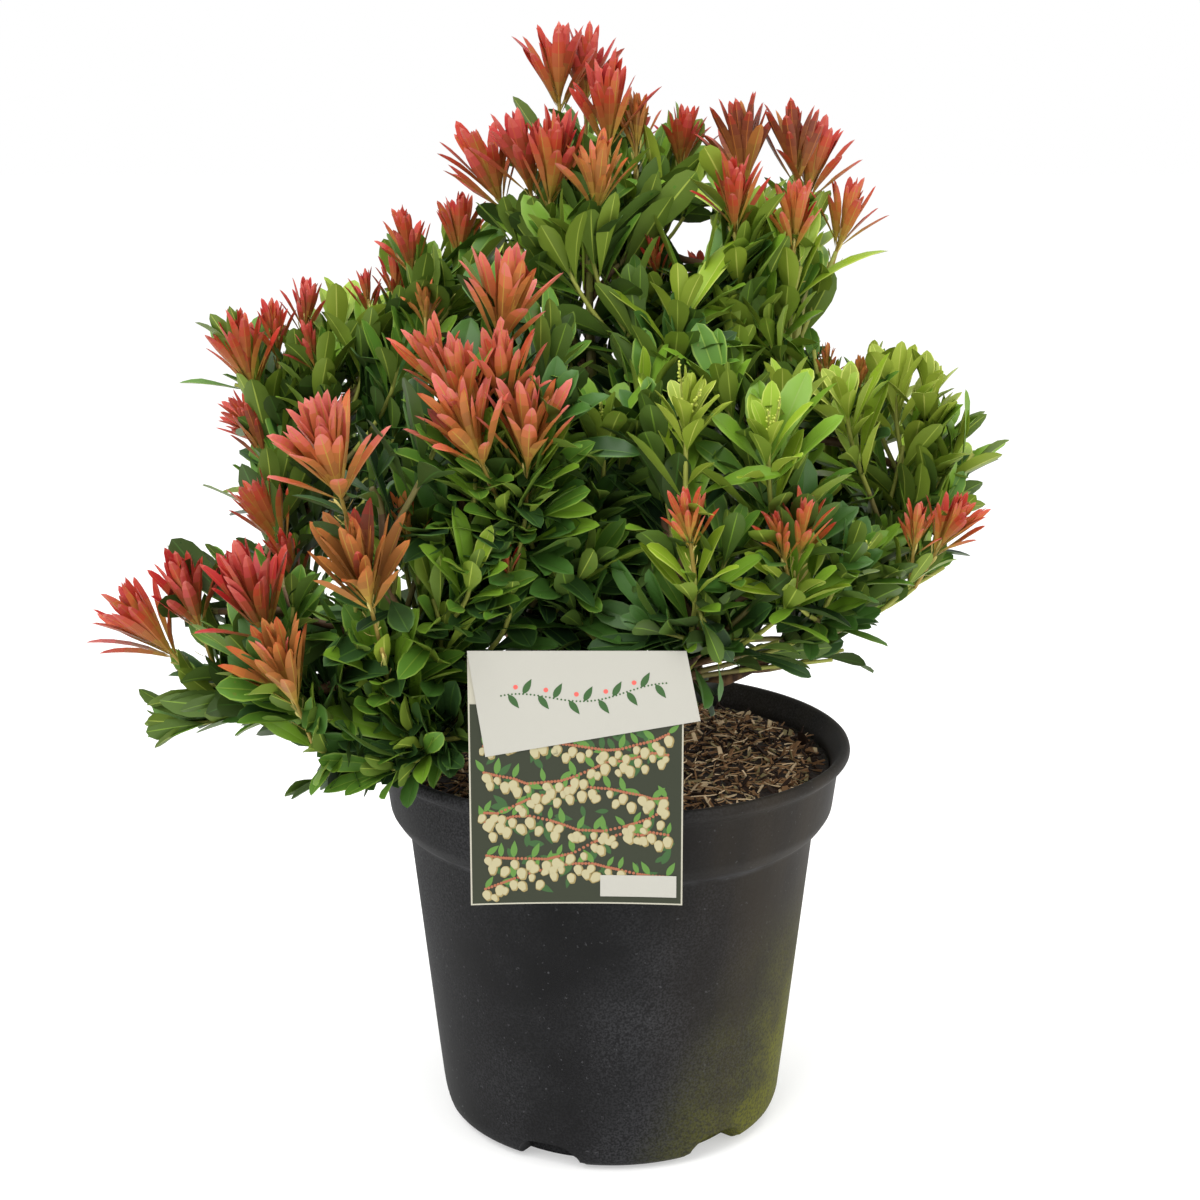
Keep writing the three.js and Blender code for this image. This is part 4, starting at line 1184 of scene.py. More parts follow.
def refined(profile, step):
    """The same profile with straight stretches cut into pieces no longer than step."""
    points = [profile[0]]
    for one, other in zip(profile[:-1], profile[1:]):
        pieces = max(1, int(np.ceil(np.linalg.norm(other - one) / step)))
        points += [mix(one, other, (piece + 1) / pieces) for piece in range(pieces)]
    return np.array(points)


def turned_points(profile, turns):
    """Rings r (cos a, sin a) at each height, then the profile's first and last points on the axis."""
    angle = np.arange(turns) * 2 * math.pi / turns
    radius, height = profile[1:-1, 0, None], profile[1:-1, 1, None]
    rings = np.stack((radius * np.cos(angle), radius * np.sin(angle), height + 0 * angle), -1)
    ends = np.array([(0, 0, profile[0, 1]), (0, 0, profile[-1, 1])])
    return rings, ends


def pot_points():
    """The pot's profile turned about Z, with notches z = max(z, h (1 - (a / w)^4)) at its foot."""
    profile = [point for part in POT_PROFILE.values() for point in part]
    profile = refined(rounded(profile, POT_CORNER), 9)
    rings, ends = turned_points(profile, POT_TURNS)
    angle = np.degrees(np.arctan2(rings[..., 1], rings[..., 0]))
    apart = 360 / NOTCH["count"]
    off = np.abs((angle - NOTCH["first"] + apart / 2) % apart - apart / 2) / NOTCH["half_angle"]
    roof = NOTCH["height"] * np.clip(1 - off ** 4, 0, 1)
    radius = np.hypot(rings[..., 0], rings[..., 1])
    outside = np.arange(len(rings))[:, None] < len(rings) // 2
    notched = outside & (radius > NOTCH["inner"]) & (rings[..., 2] < roof)
    rings[..., 2] = np.where(notched, roof, rings[..., 2])
    rng = np.random.default_rng(5)
    swell = 1 + 0.0016 * ripple(rings / 60, 1.0, 2, rng)
    rings[..., :2] *= swell[..., None]
    return np.concatenate((rings.reshape(-1, 3), ends)) * MM, len(rings)


def pot_material(pot):
    """Matt black plastic with dust, specks, silt and algae on the right, and scuffs under the band."""
    paint = Painter("pot_plastic")
    x, z = paint.axis("X"), paint.axis("Z")
    cloud = paint.noise(9, 6)
    specks = paint.noise(420, 2, shift=(3, 1, 2))
    streaks = paint.noise(34, 3, stretch=(1, 1, 0.16), shift=(1, 4, 2))
    fine = paint.noise(900, 2, shift=(6, 5, 8))
    dusty = paint.times(paint.between(cloud, 0.33, 0.64), paint.between(fine, 0.35, 0.68, 0.12, 0.62))
    spots = paint.times(paint.between(specks, 0.67, 0.75), 0.9)
    shade = paint.blend(paint.maths("MAXIMUM", dusty, spots), pot.plastic, pot.dust)
    side = paint.times(paint.between(x, 5 * MM, 95 * MM), paint.between(streaks, 0.3, 0.7, 0.35, 0.8))
    shade = paint.blend(paint.times(side, 0.48), shade, pot.silt)
    reach = paint.maths("ADD", x, paint.times(z, -0.42))
    low = paint.times(paint.between(reach, 0, 80 * MM), paint.between(z, 160 * MM, 40 * MM))
    grain = paint.noise(620, 3, shift=(7, 2, 5))
    patches = paint.noise(24, 8, shift=(2, 8, 1))
    thick = paint.times(low, paint.between(patches, 0.28, 0.58, 0.3, 1.0))
    green = paint.times(thick, paint.between(grain, 0.34, 0.6, 0.35, 1.0))
    shade = paint.blend(paint.times(green, 0.88), shade, pot.algae)
    step = paint.times(paint.between(z, 164 * MM, 168 * MM), paint.between(z, 172 * MM, 169 * MM))
    scuffed = paint.times(step, paint.between(paint.noise(46, 4, shift=(9, 9, 3)), 0.42, 0.62))
    shade = paint.blend(paint.times(scuffed, 0.6), shade, pot.dust)
    paint.coat(shade, paint.between(cloud, 0.3, 0.75, 0.55, 0.8))
    paint.shader.inputs["Specular IOR Level"].default_value = 0.13
    paint.bump(paint.noise(210, 5), 0.22, 0.4 * MM)
    return paint.material


class OBJECT_OT_pieris_pot(bpy.types.Operator):
    """Turn the round nursery pot with its lip, band and drainage notches"""

    bl_idname = "pieris.pot"
    bl_label = "Pot"

    def execute(self, context):
        points, rings = pot_points()
        shape = rod_pattern(rings, POT_TURNS).shape(points[None], 0)
        make_piece("nursery_pot", shape, [pot_material(settings("pot"))],
                   replaced=("pot",), crease=40)
        return {"FINISHED"}


SOIL_EDGE_DROP = 3  # millimetres the compost has settled against the wall
SOIL_DEPTH = 14  # millimetres of compost that are modelled under its top
SOIL_TURNS = 180
SOIL_RINGS = 56
CHIPS_TO = (115 * MM, 117 * MM)  # radii within which chips lie with their middles and their ends
FIBRES_TO = (106 * MM, 113 * MM)  # and fibres
FIBRE_RINGS = 6


def soil_height(x, y):
    """Height of the compost in metres: its top, less the drop at the wall, plus small heaps."""
    rng = np.random.default_rng(23)
    places = np.stack((x, y, np.zeros_like(x)), -1)
    heaps = 1.9 * ripple(places / (16 * MM), 1.0, 3, rng) + 0.7 * ripple(places / (3.4 * MM), 1.0, 2, rng)
    edge = smooth(np.hypot(x, y), 92 * MM, SOIL_RADIUS)
    return SOIL_TOP - 1.2 * MM + (heaps * (1 - 0.6 * edge) - SOIL_EDGE_DROP * edge) * MM


def soil_points():
    """A disc of compost: flat below, with an upright edge, and uneven on top from the wall to its middle."""
    radius = SOIL_RADIUS / MM
    top = [(r, 0) for r in np.linspace(radius, 1.2, SOIL_RINGS)]
    profile = np.array([(0, -SOIL_DEPTH), (60, -SOIL_DEPTH), (radius - 2, -SOIL_DEPTH), *top, (0, 0)])
    rings, ends = turned_points(profile, SOIL_TURNS)
    rings, ends = rings * MM, ends * MM
    rings[2:, :, 2] = soil_height(rings[2:, :, 0], rings[2:, :, 1])
    rings[:2, :, 2] += SOIL_TOP
    ends[:, 2] = (SOIL_TOP - SOIL_DEPTH * MM, soil_height(np.zeros(1), np.zeros(1))[0])
    return np.concatenate((rings.reshape(-1, 3), ends)), len(rings)


def shard_pattern():
    """A closed block of eight corners: lower four, then upper four, each anticlockwise from above."""
    faces = [(3, 2, 1, 0), (4, 5, 6, 7), (0, 1, 5, 4), (1, 2, 6, 5), (2, 3, 7, 6), (3, 0, 4, 7)]
    return Pattern(8, faces, [0] * 6)


def chip_points(count, rng):
    """Blocks with every corner moved at random, turned, tilted and laid on the compost."""
    radius = CHIPS_TO[0] * np.sqrt(rng.random(count))
    angle = rng.uniform(0, 2 * math.pi, count)
    place = np.stack((radius * np.cos(angle), radius * np.sin(angle)), -1)
    size = np.exp(rng.normal(0, 0.42, (count, 3))) * np.array((4.4, 0.75, 0.45)) * MM
    size[:, 0] = np.minimum(size[:, 0], 9 * MM)
    block = np.array([(x, y, z) for z in (-1, 1) for x, y in ((-1, -1), (1, -1), (1, 1), (-1, 1))])
    corner = (block[None] * rng.uniform(0.55, 1.15, (count, 8, 3))) * size[:, None]
    turn, tilt = rng.uniform(0, 2 * math.pi, count), rng.normal(0, 0.45, count)
    reach = np.minimum(radius + size[:, 0], CHIPS_TO[1]) - size[:, 0]
    place *= (reach / np.maximum(radius, 1e-6))[:, None]
    x, y, z = np.moveaxis(corner, -1, 0)
    x, z = turned(x, z, tilt[:, None])
    x, y = turned(x, y, turn[:, None])
    ground = soil_height(place[:, 0], place[:, 1]) + rng.uniform(-0.2, 1.3, count) * MM
    return np.stack((x + place[:, :1], y + place[:, 1:], z + ground[:, None]), -1)


def fibre_points(count, rng):
    """Thin rods that curl sideways over the compost: straight on plus a sine across."""
    radius = FIBRES_TO[0] * np.sqrt(rng.random(count))
    angle, turn = rng.uniform(0, 2 * math.pi, (2, count))
    share = np.linspace(-0.5, 0.5, FIBRE_RINGS)[None]
    length = rng.uniform(6, 20, count)[:, None] * MM
    bow = rng.normal(0, 0.2, count)[:, None] * length
    ahead, beside = length * share, bow * np.cos(math.pi * share)
    x, y = turned(ahead, beside, turn[:, None])
    x, y = x + (radius * np.cos(angle))[:, None], y + (radius * np.sin(angle))[:, None]
    inside = np.minimum(1, FIBRES_TO[1] / np.maximum(np.hypot(x, y), 1e-6))
    x, y = x * inside, y * inside
    z = soil_height(x, y) + rng.uniform(0.6, 2.2, count)[:, None] * MM
    return rods(np.stack((x, y, z), -1), np.full((count, FIBRE_RINGS), 0.32 * MM), 3)


class OBJECT_OT_pieris_compost(bpy.types.Operator):
    """Heap the compost and strew bark chips and fibres over it"""

    bl_idname = "pieris.compost"
    bl_label = "Compost"

    def execute(self, context):
        pot = settings("pot")
        rng = np.random.default_rng(31)
        points, rings = soil_points()
        peat = Painter("peat")
        lumps = peat.noise(420, 6)
        peat.coat(peat.blend(peat.between(lumps, 0.4, 0.7), pot.compost, pot.chip_dark), 0.9)
        peat.bump(lumps, 0.8, 1.2 * MM)
        make_piece("peat", rod_pattern(rings, SOIL_TURNS).shape(points[None], 0), [peat.material],
                   replaced=("soil",))
        names = ("chip_tan", "chip_brown", "chip_olive", "chip_dark", "fibre")
        materials = [plain(name, getattr(pot, name), 0.85) for name in names]
        chips = rng.choice(4, (pot.chips, 1), p=(0.16, 0.28, 0.1, 0.46))
        fibres = rng.choice((0, 1, 4), (pot.fibres, 1), p=(0.2, 0.3, 0.5))
        make_piece("bark_chips", join_shapes((
            shard_pattern().shape(chip_points(pot.chips, rng), chips),
            rod_pattern(FIBRE_RINGS, 3).shape(fibre_points(pot.fibres, rng), fibres),
        )), materials, crease=30)
        return {"FINISHED"}


# ---- hanging label

CARD_WIDTH = CARD_HIGH[0] - CARD_LOW[0]
CARD_MIDDLE = (CARD_HIGH[0] + CARD_LOW[0]) / 2
CARD_THICKNESS = 0.7 * MM
# The header's corners, in millimetres to +X and up from the card's upper corner on their side.
HEADER = {"low_left": (8, -52.5), "low_right": (8, -34.5), "high_left": (0, 0), "high_right": (1, 0)}
TAG = {"low": (-40, 4), "high": (-3, 15)}  # from the card's lower right corner
FIELD = {"low": 3, "high": 84}  # where blossom may hang, in millimetres above the card's foot
PANEL_STEPS = 24
SPRAYS, NODES, SCATTERED = 6, 13, 90  # arching twigs, places along each, and leaves behind them
HOOK = {"width": 14, "thickness": 1.2, "foot": 188.5, "top": 216, "inner": -113.5}  # millimetres


def card_front(x, z, lift, curl):
    """Points on the card's face, lifted off it. It bows out with (x / half width)^2 towards its foot."""
    across_share = (x - CARD_MIDDLE) / (CARD_WIDTH / 2)
    down_share = np.clip((CARD_HIGH[2] - z) / (CARD_HIGH[2] - CARD_LOW[2]), 0, 1)
    bow = curl * (across_share ** 2 * down_share ** 2 + 0.35 * down_share * (1 - down_share))
    return np.stack((x, CARD_LOW[1] - bow - lift, z), -1)


def slab(front, back, slot):
    """A thin closed sheet from its front and back grids: their quads, and quads round the rim."""
    rows, columns = front.shape[:2]
    count = rows * columns
    face = grid_quads(rows, columns, False)
    rim = np.concatenate((np.arange(columns), np.arange(1, rows) * columns + columns - 1,
                          (rows - 1) * columns + np.arange(columns - 2, -1, -1),
                          np.arange(rows - 2, 0, -1) * columns))
    after = np.roll(rim, -1)
    edge = np.stack((after, rim, rim + count, after + count), -1)
    quads = np.concatenate((face, face[:, ::-1] + count, edge))
    points = np.concatenate((front.reshape(-1, 3), back.reshape(-1, 3)))
    return points, quads.ravel(), np.arange(len(quads)) * 4, np.full(len(quads), slot)


def within(corners, across_share, up_share):
    """x and z within four corners low left, low right, high left and high right, by shares across and up."""
    low = mix(corners[0], corners[1], across_share[..., None])
    high = mix(corners[2], corners[3], across_share[..., None])
    place = mix(low, high, up_share[..., None])
    return place[..., 0], place[..., 1]


def panel(corners, lift, thickness, curl, slot):
    """A sheet of card between four corners (x, z)."""
    across_share, up_share = np.meshgrid(np.linspace(0, 1, PANEL_STEPS), np.linspace(0, 1, PANEL_STEPS))
    front = card_front(*within(corners, across_share, up_share), lift * MM, curl)
    return slab(front, front + np.array((0, thickness * MM, 0)), slot)


def rectangle(low, high):
    """Four corners of a rectangle from its lowest and highest."""
    return np.array(((low[0], low[1]), (high[0], low[1]), (low[0], high[1]), (high[0], high[1])))


def bell_outline():
    """An urn-shaped bell one unit long, hanging from the origin: a swollen body, a neck and a small lip."""
    t = np.linspace(0, 1, 9)
    half = 0.34 * np.sin(math.pi * t ** 0.8) ** 0.7 + 0.1 * smooth(t, 0.75, 1.0) + 0.06
    return np.concatenate((np.stack((-half, -t), -1), np.stack((half[::-1], -t[::-1]), -1)))


def lens_outline():
    """A pointed leaf one unit long from the origin: half width 0.19 sin(pi t^0.8)."""
    t = np.linspace(0, 1, 8)
    half = 0.19 * np.sin(math.pi * t ** 0.8)
    return np.concatenate((np.stack((half, t), -1), np.stack((-half[-2:0:-1], t[-2:0:-1]), -1)))


def dot_outline():
    """A round dot of radius one half."""
    angle = np.arange(12) * math.pi / 6
    return np.stack((np.cos(angle), np.sin(angle)), -1) / 2


def prints(outline, places, sizes, turns, lift, curl, slot):
    """Flat closed shapes on the card: one outline scaled, turned by radians and moved to each place."""
    corners = len(outline)
    x, z = (outline[:, axis] * np.reshape(sizes, (-1, 1)) for axis in (0, 1))
    x, z = turned(x, z, np.reshape(turns, (-1, 1)))
    x, z = x + places[:, :1], z + places[:, 1:]
    points = np.concatenate([card_front(x, z, raised * MM, curl) for raised in (lift, 0)], axis=1)
    after = [*range(1, corners), 0]
    faces = [tuple(range(corners)), tuple(range(2 * corners - 1, corners - 1, -1))]
    faces += [(one, corners + one, corners + other, other) for one, other in enumerate(after)]
    return Pattern(2 * corners, faces, [0] * len(faces)).shape(points, slot)


def sprays_of_bells(rng):
    """Where the design's twigs, bells and leaves stand: arcs across the field with bells under them."""
    low, high = CARD_LOW[2] + FIELD["low"] * MM, CARD_LOW[2] + FIELD["high"] * MM
    left = CARD_LOW[0]
    bells, bell_turns, leaves, leaf_turns, twigs = [], [], [], [], []
    for row, height in enumerate(np.linspace(0.97, 0.16, SPRAYS)):
        share = np.linspace(0.07, 0.93, NODES) + rng.normal(0, 0.012, NODES)
        share = np.clip(share, 0.07, 0.93)
        x = left + CARD_WIDTH * share
        z = mix(low, high, height) + 5 * MM * np.sin(math.pi * (share * 2.2 + row * 0.7)) + \
            9 * MM * (share - 0.5) + rng.normal(0, 0.8, NODES) * MM
        twigs.append((x, z))
        bells.append(np.stack((x, z - 0.6 * MM), -1))
        bell_turns.append(rng.normal(0, 0.4, NODES))
        middle = np.stack(((x[1:] + x[:-1]) / 2, (z[1:] + z[:-1]) / 2 - 3.4 * MM), -1)
        bells.append(middle + rng.normal(0, 0.8, middle.shape) * MM)
        bell_turns.append(rng.normal(0, 0.5, len(middle)))
        leaves.append(np.stack((x, z + 0.4 * MM), -1))
        leaf_turns.append(rng.normal(0, 0.7, NODES) + (share - 0.5) * 1.2)
    return *(np.concatenate(rows) for rows in (bells, bell_turns, leaves, leaf_turns)), twigs


class OBJECT_OT_pieris_label(bpy.types.Operator):
    """Hang the printed card on the rim, with a plain design of bells and leaves"""

    bl_idname = "pieris.label"
    bl_label = "Label"

    def execute(self, context):
        label = settings("label")
        rng = np.random.default_rng(47)
        names = ("card", "header", "ground", "bell", "bell_shade", "leaf", "leaf_dark", "twig", "accent")
        materials = [plain("print_" + name, getattr(label, name), 0.5, 0.25) for name in names]
        shapes = []

        def add_panel(corners, lift, thickness, name):
            shapes.append(panel(corners, lift, thickness, label.curl, names.index(name)))

        def add_prints(outline, places, sizes, turns, lift, name):
            shapes.append(prints(outline, places, sizes, turns, lift, label.curl, names.index(name)))

        edge = 0.8 * MM
        low, high = CARD_LOW[[0, 2]], CARD_HIGH[[0, 2]]
        upper = {"left": np.array((low[0], high[1])), "right": high}
        header = np.array([upper[key.split("_")[1]] + np.array(step) * MM for key, step in HEADER.items()])
        foot = header[:2, 1].max()
        add_panel(rectangle(low, high - np.array((0, 2 * MM))), 0, 0.7, "card")
        add_panel(rectangle(low + edge, (high[0] - edge, foot + 8 * MM)), 0.12, 0.1, "ground")
        add_panel(header, 0.95, 0.55, "header")
        bells, bell_turns, leaves, leaf_turns, twigs = sprays_of_bells(rng)
        ends = (low[0] + 10 * MM, low[1] + 8 * MM), (high[0] - 7 * MM, foot - 2 * MM)
        scatter = rng.uniform(*ends, (SCATTERED, 2))
        sizes, turns = rng.uniform(6, 10, SCATTERED) * MM, rng.uniform(0, 6.3, SCATTERED)
        add_prints(lens_outline(), scatter, sizes, turns, 0.18, "leaf_dark")
        add_prints(lens_outline(), leaves, rng.uniform(6, 9, len(leaves)) * MM, leaf_turns, 0.24, "leaf")
        for x, z in twigs:
            along = np.linspace(0, 1, 60) * (NODES - 1)
            places = np.stack([np.interp(along, np.arange(NODES), line) for line in (x, z)], -1)
            add_prints(dot_outline(), places, 1.5 * MM, 0.0, 0.3, "twig")
        sizes = rng.uniform(4.2, 6.6, len(bells)) * MM
        add_prints(bell_outline(), bells, sizes, bell_turns, 0.36, "bell_shade")
        lit = bells + np.array((-0.35, -0.2)) * MM
        add_prints(bell_outline(), lit, sizes * 0.84, bell_turns, 0.44, "bell")
        self.print_header(add_prints, header)
        corner = np.array((high[0], low[1]))
        tag = (corner + np.array(TAG[end]) * MM for end in ("low", "high"))
        add_panel(rectangle(*tag), 0.62, 0.2, "header")
        make_piece("hanging_label", join_shapes(shapes + self.hook()), materials,
                   replaced=("label",), crease=30)
        return {"FINISHED"}

    def print_header(self, add_prints, header):
        """A thin leafy sprig with a few dots across the header."""
        share = np.linspace(0.12, 0.88, 46)
        line = np.stack(within(header, share, 0.5 + 0.07 * np.sin(share * 9)), -1)
        add_prints(dot_outline(), line, 0.9 * MM, 0.0, 1.05, "leaf_dark")
        leafy, dotted = line[2:44:4], line[4:44:8]
        turns = np.where(np.arange(len(leafy)) % 2, -0.5, -2.5)
        add_prints(lens_outline(), leafy, 8.5 * MM, turns, 1.05, "leaf_dark")
        add_prints(dot_outline(), dotted + np.array((0, 3.4 * MM)), 2.3 * MM, 0.0, 1.05, "accent")

    def hook(self):
        """The strip behind the card that goes over the lip and down inside the pot: three flat plates."""
        thick = HOOK["thickness"] * MM
        left, right = (CARD_MIDDLE + side * HOOK["width"] / 2 * MM for side in (-1, 1))
        back, inner = CARD_LOW[1] + CARD_THICKNESS, HOOK["inner"] * MM
        foot, top = HOOK["foot"] * MM, HOOK["top"] * MM
        shapes = []
        for low, high in (
            ((left, back, foot), (right, back + thick, top)),
            ((left, back, top - thick), (right, inner, top)),
            ((left, inner - thick, SOIL_TOP + 0.3 * MM), (right, inner, top)),
        ):
            x, z = np.meshgrid((low[0], high[0]), (low[2], high[2]))
            faces = (np.stack((x, np.full_like(x, depth), z), -1) for depth in (low[1], high[1]))
            shapes.append(slab(*faces, 0))
        return shapes


# ---- bark, branches and twigs

BARK_SIDES = 30
BARK_STEP = 2.2 * MM
FISSURE_DEPTH = 0.09  # share of a limb's radius
SLIMMEST = 0.62  # how slim a limb gets beside its solid once it is clear of the trunk
LIMB_END = 0.5  # and by how much more it tapers to its end


def bark_limb(middles, radii, rng):
    """A limb whose radius is swollen, and cut by fissures where a stretched ripple runs near nothing."""
    points = rods(middles[None], radii[None], BARK_SIDES)[0]
    rings = points[:-2].reshape(len(middles), BARK_SIDES, 3)
    turn = np.arange(BARK_SIDES) * 2 * math.pi / BARK_SIDES
    along = np.concatenate(((0.0,), np.cumsum(np.linalg.norm(np.diff(middles, axis=0), axis=1))))
    place = np.stack(np.broadcast_arrays(
        np.cos(turn)[None] * 2.6, np.sin(turn)[None] * 2.6, along[:, None] / (15 * MM)), -1)
    swell = 0.06 * ripple(place * 0.5, 1.0, 2, rng)
    cracks = smooth(np.abs(ripple(place, 1.5, 3, rng)), 0.16, 0.0)
    relief = 1 + swell - FISSURE_DEPTH * cracks
    rings = middles[:, None] + (rings - middles[:, None]) * relief[..., None]
    return np.concatenate((rings.reshape(-1, 3), points[-2:]))


def trunk_line():
    """Middles and radii of the trunk: a straight lean, with (flare - stem) exp(-(t / reach)^2)."""
    foot, fork = np.array(TRUNK["foot"], float), np.array(TRUNK["fork"], float)
    share = np.linspace(0, 1, 30)
    sizes = TRUNK_RADII
    flare = (sizes["flare"] - sizes["stem"]) * np.exp(-(share / sizes["flare_reach"]) ** 2)
    radii = flare + mix(sizes["stem"], sizes["fork"], share)
    middles = mix(foot, fork, share[:, None])
    sunk = foot - np.array((0, 0, TRUNK["sunk"]))
    crown = fork + np.array((0, 0, 4))
    middles = np.concatenate((sunk[None], middles, crown[None]))
    radii = np.concatenate((radii[:1], radii, radii[-1:] * 0.6))
    return middles * MM, radii * MM


class OBJECT_OT_pieris_bark(bpy.types.Operator):
    """Cover trunk, boughs and bare stems with fissured bark"""

    bl_idname = "pieris.bark"
    bl_label = "Trunk and boughs"

    def execute(self, context):
        colours = settings("colours")
        rng = np.random.default_rng(61)
        curves, radii = limb_curves()
        lengths = curve_lengths(curves)
        lines = [trunk_line()]
        for curve, (foot, tip), length in zip(curves, radii, lengths):
            share = np.linspace(0, 1, max(8, int(length / BARK_STEP)))
            slim = mix(1.0, SLIMMEST, smooth(share, 0.0, 0.45)) * mix(1.0, LIMB_END, smooth(share, 0.55, 1.0))
            lines.append((bezier(curve, share), mix(foot, tip, share) * slim))
        limbs = [rod_pattern(len(middles), BARK_SIDES).shape(bark_limb(middles, widths, rng)[None], bare)
                 for (middles, widths), bare in zip(lines, [0] * (1 + len(BOUGHS)) + [1] * len(STEMS))]
        paint = Painter("bark")
        grain = paint.noise(160, 6, stretch=(1, 1, 0.3))
        blotches = paint.noise(38, 4, shift=(5, 3, 1))
        shade = paint.blend(paint.between(grain, 0.38, 0.62), colours.fissure, colours.bark)
        shade = paint.blend(paint.times(paint.between(blotches, 0.5, 0.7), 0.5), shade, colours.stem_olive)
        paint.coat(shade, 0.85)
        paint.bump(grain, 0.5, 0.6 * MM)
        make_piece("bark_limbs", join_shapes(limbs), [paint.material, self.green_bark(colours)],
                   replaced=("trunk", *BOUGHS, *STEMS))
        return {"FINISHED"}

    def green_bark(self, colours):
        """Smooth bark of the bare stems, yellow-green with olive streaks."""
        paint = Painter("green_bark")
        streaks = paint.noise(90, 4, stretch=(1, 1, 0.25), shift=(2, 6, 4))
        share = paint.between(streaks, 0.42, 0.64)
        paint.coat(paint.blend(share, colours.stem_green, colours.stem_olive), 0.6)
        return paint.material


TWIG_RINGS, TWIG_SIDES = 9, 6
BRANCH_RADII = (2.5 * MM, 1.6 * MM)
TWIG_RADII = (1.7 * MM, 1.0 * MM)
STEM_RADII = (1.1 * MM, 0.9 * MM)


class OBJECT_OT_pieris_twigs(bpy.types.Operator):
    """Grow branches, twigs and the stems of new growth from the boughs"""

    bl_idname = "pieris.twigs"
    bl_label = "Twigs"

    def execute(self, context):
        colours = settings("colours")
        plan = grow(settings("growth"))
        names = ("stem_brown", "stem_olive", "stem_green", "stem_new")
        materials = [plain(name, getattr(colours, name), 0.6) for name in names]
        share = np.linspace(0, 1, TWIG_RINGS)
        kinds = (  # curves, radii at foot and tip, and the material of each stretch
            (plan["branches"], BRANCH_RADII, (0, 0, 0, 0, 0, 0, 1, 1)),
            (plan["twigs"], TWIG_RADII, (0, 0, 1, 1, 2, 2, 2, 2)),
            (plan["stems"], STEM_RADII, (3,) * 8),
        )
        pattern = rod_pattern(TWIG_RINGS, TWIG_SIDES)
        shapes = []
        for curves, radii, ages in kinds:
            points = rods(bezier(curves[:, None], share), mix(*radii, share)[None], TWIG_SIDES)
            shapes.append(pattern.shape(points, np.array(ages)[pattern.parts]))
        make_piece("twigs", join_shapes(shapes), materials)
        return {"FINISHED"}


# ---- green leaves and new growth

# Each tier of a twig's leaves: metres below the bud and degrees off the twig, for its first and last
# leaf, its leaves as a share of the whorl, how much darker they are, and its first leaf's length.
# The darker tiers lower down are older leaves and also painted shade under the leaves above.
TIERS = (
    ((0.0, 20 * MM), (12, 48), 1.0, 0.0, 0.72),
    ((32 * MM, 54 * MM), (36, 58), 0.75, 1.3, 0.95),
    ((60 * MM, 90 * MM), (44, 70), 0.65, 2.3, 0.95),
)
OPENED = 14  # degrees the green leaves under new growth stand further open


def green_leaves(growth, plan, rng):
    """All mature leaves with the mass they belong to and their dress: tiers of whorls down every twig."""
    shoots, groups, masses, tones, listed = plan["shoots"], [], [], [], []
    clear = np.isin(shoots["mass"], [MASSES.index(name) for name in CLEAR_STEMS])
    for number, (depth, spread, leafy, darker, inner) in enumerate(TIERS):
        share = leafy * np.where(shoots["listed"], 1 - number * np.where(clear, 0.5, 0.25), 1)
        counts = np.maximum(np.round(shoots["count"] * share + rng.normal(0, 0.8, len(share))), 3)
        counts[(shoots["count"] == 0) | (share == 0)] = 0
        opened = np.where(shoots["tint"] >= 0, OPENED if number == 0 else 0.0, 0.0)
        group, owner, rank = whorl(
            plan["twigs"], counts.astype(int), rng, depth, spread, shoots["leaf"],
            growth.leaf_width * shoots["broad"], inner=inner, rise=0.12,
            hanging=shoots["hanging"], opened=opened)
        groups.append(group)
        masses.append(shoots["mass"][owner])
        listed.append(shoots["listed"][owner])
        # Lower tiers and the lower leaves of a whorl are darker: partly older leaves, partly painted shade
        # under the leaves above.
        tones.append(shoots["tone"][owner] + darker + 0.5 * rank + rng.normal(0, 0.45, len(owner)))
    limbs = limb_curves()[0][:len(BOUGHS)]
    nearest = np.linalg.norm(limbs[:, 3, None] - MASS_MIDDLE, axis=2).argmin(1)
    for curves, owners in ((plan["branches"], plan["owners"]), (limbs, nearest)):
        count = len(curves)
        group, owner, _ = whorl(curves, np.full(count, 14), rng, (0, 80 * MM), (50, 90),
                                np.full(count, growth.leaf_length), growth.leaf_width * 1.2)
        groups.append(group)
        masses.append(owners[owner])
        listed.append(np.zeros(len(owner), dtype=bool))
        # Leaves along the branches and boughs inside the crown take the dark greens: old leaves, with painted
        # shade.
        tones.append(rng.normal(5, 0.6, len(owner)))
    tone = np.clip(np.round(np.concatenate(tones)), 0, len(GREENS) - 1).astype(int)
    leaves, kept = fitted(stacked(groups), np.concatenate(listed), rosette_hearts(shoots))
    return leaves, np.concatenate(masses)[kept], tone[kept]


class OBJECT_OT_pieris_leaves(bpy.types.Operator):
    """Clothe every region of the crown with whorls of green leaves"""

    bl_idname = "pieris.leaves"
    bl_label = "Green leaves"

    def execute(self, context):
        growth = settings("growth")
        plan = grow(growth)
        rng = np.random.default_rng(growth.seed + 1)
        leaves, masses, tone = green_leaves(growth, plan, rng)
        materials, dresses = dress_materials(GREENS.values(), settings("colours"), 0.47)
        for region, starts_of in REGIONS.items():
            nodes = [name for name in MASSES if name.startswith(starts_of)]
            chosen = np.isin(masses, [MASSES.index(name) for name in nodes])
            green = [name for name in nodes if not name.startswith(YOUNG_MASSES)]
            own = {key: values[chosen] for key, values in leaves.items()}
            make_piece("leaves_" + region, leaf_shape(own, dresses[tone[chosen]]), materials,
                       replaced=green, hard=hard_margins)
        return {"FINISHED"}


VARIED = 0.3  # share of a rosette's leaves that take the tint before or after its own


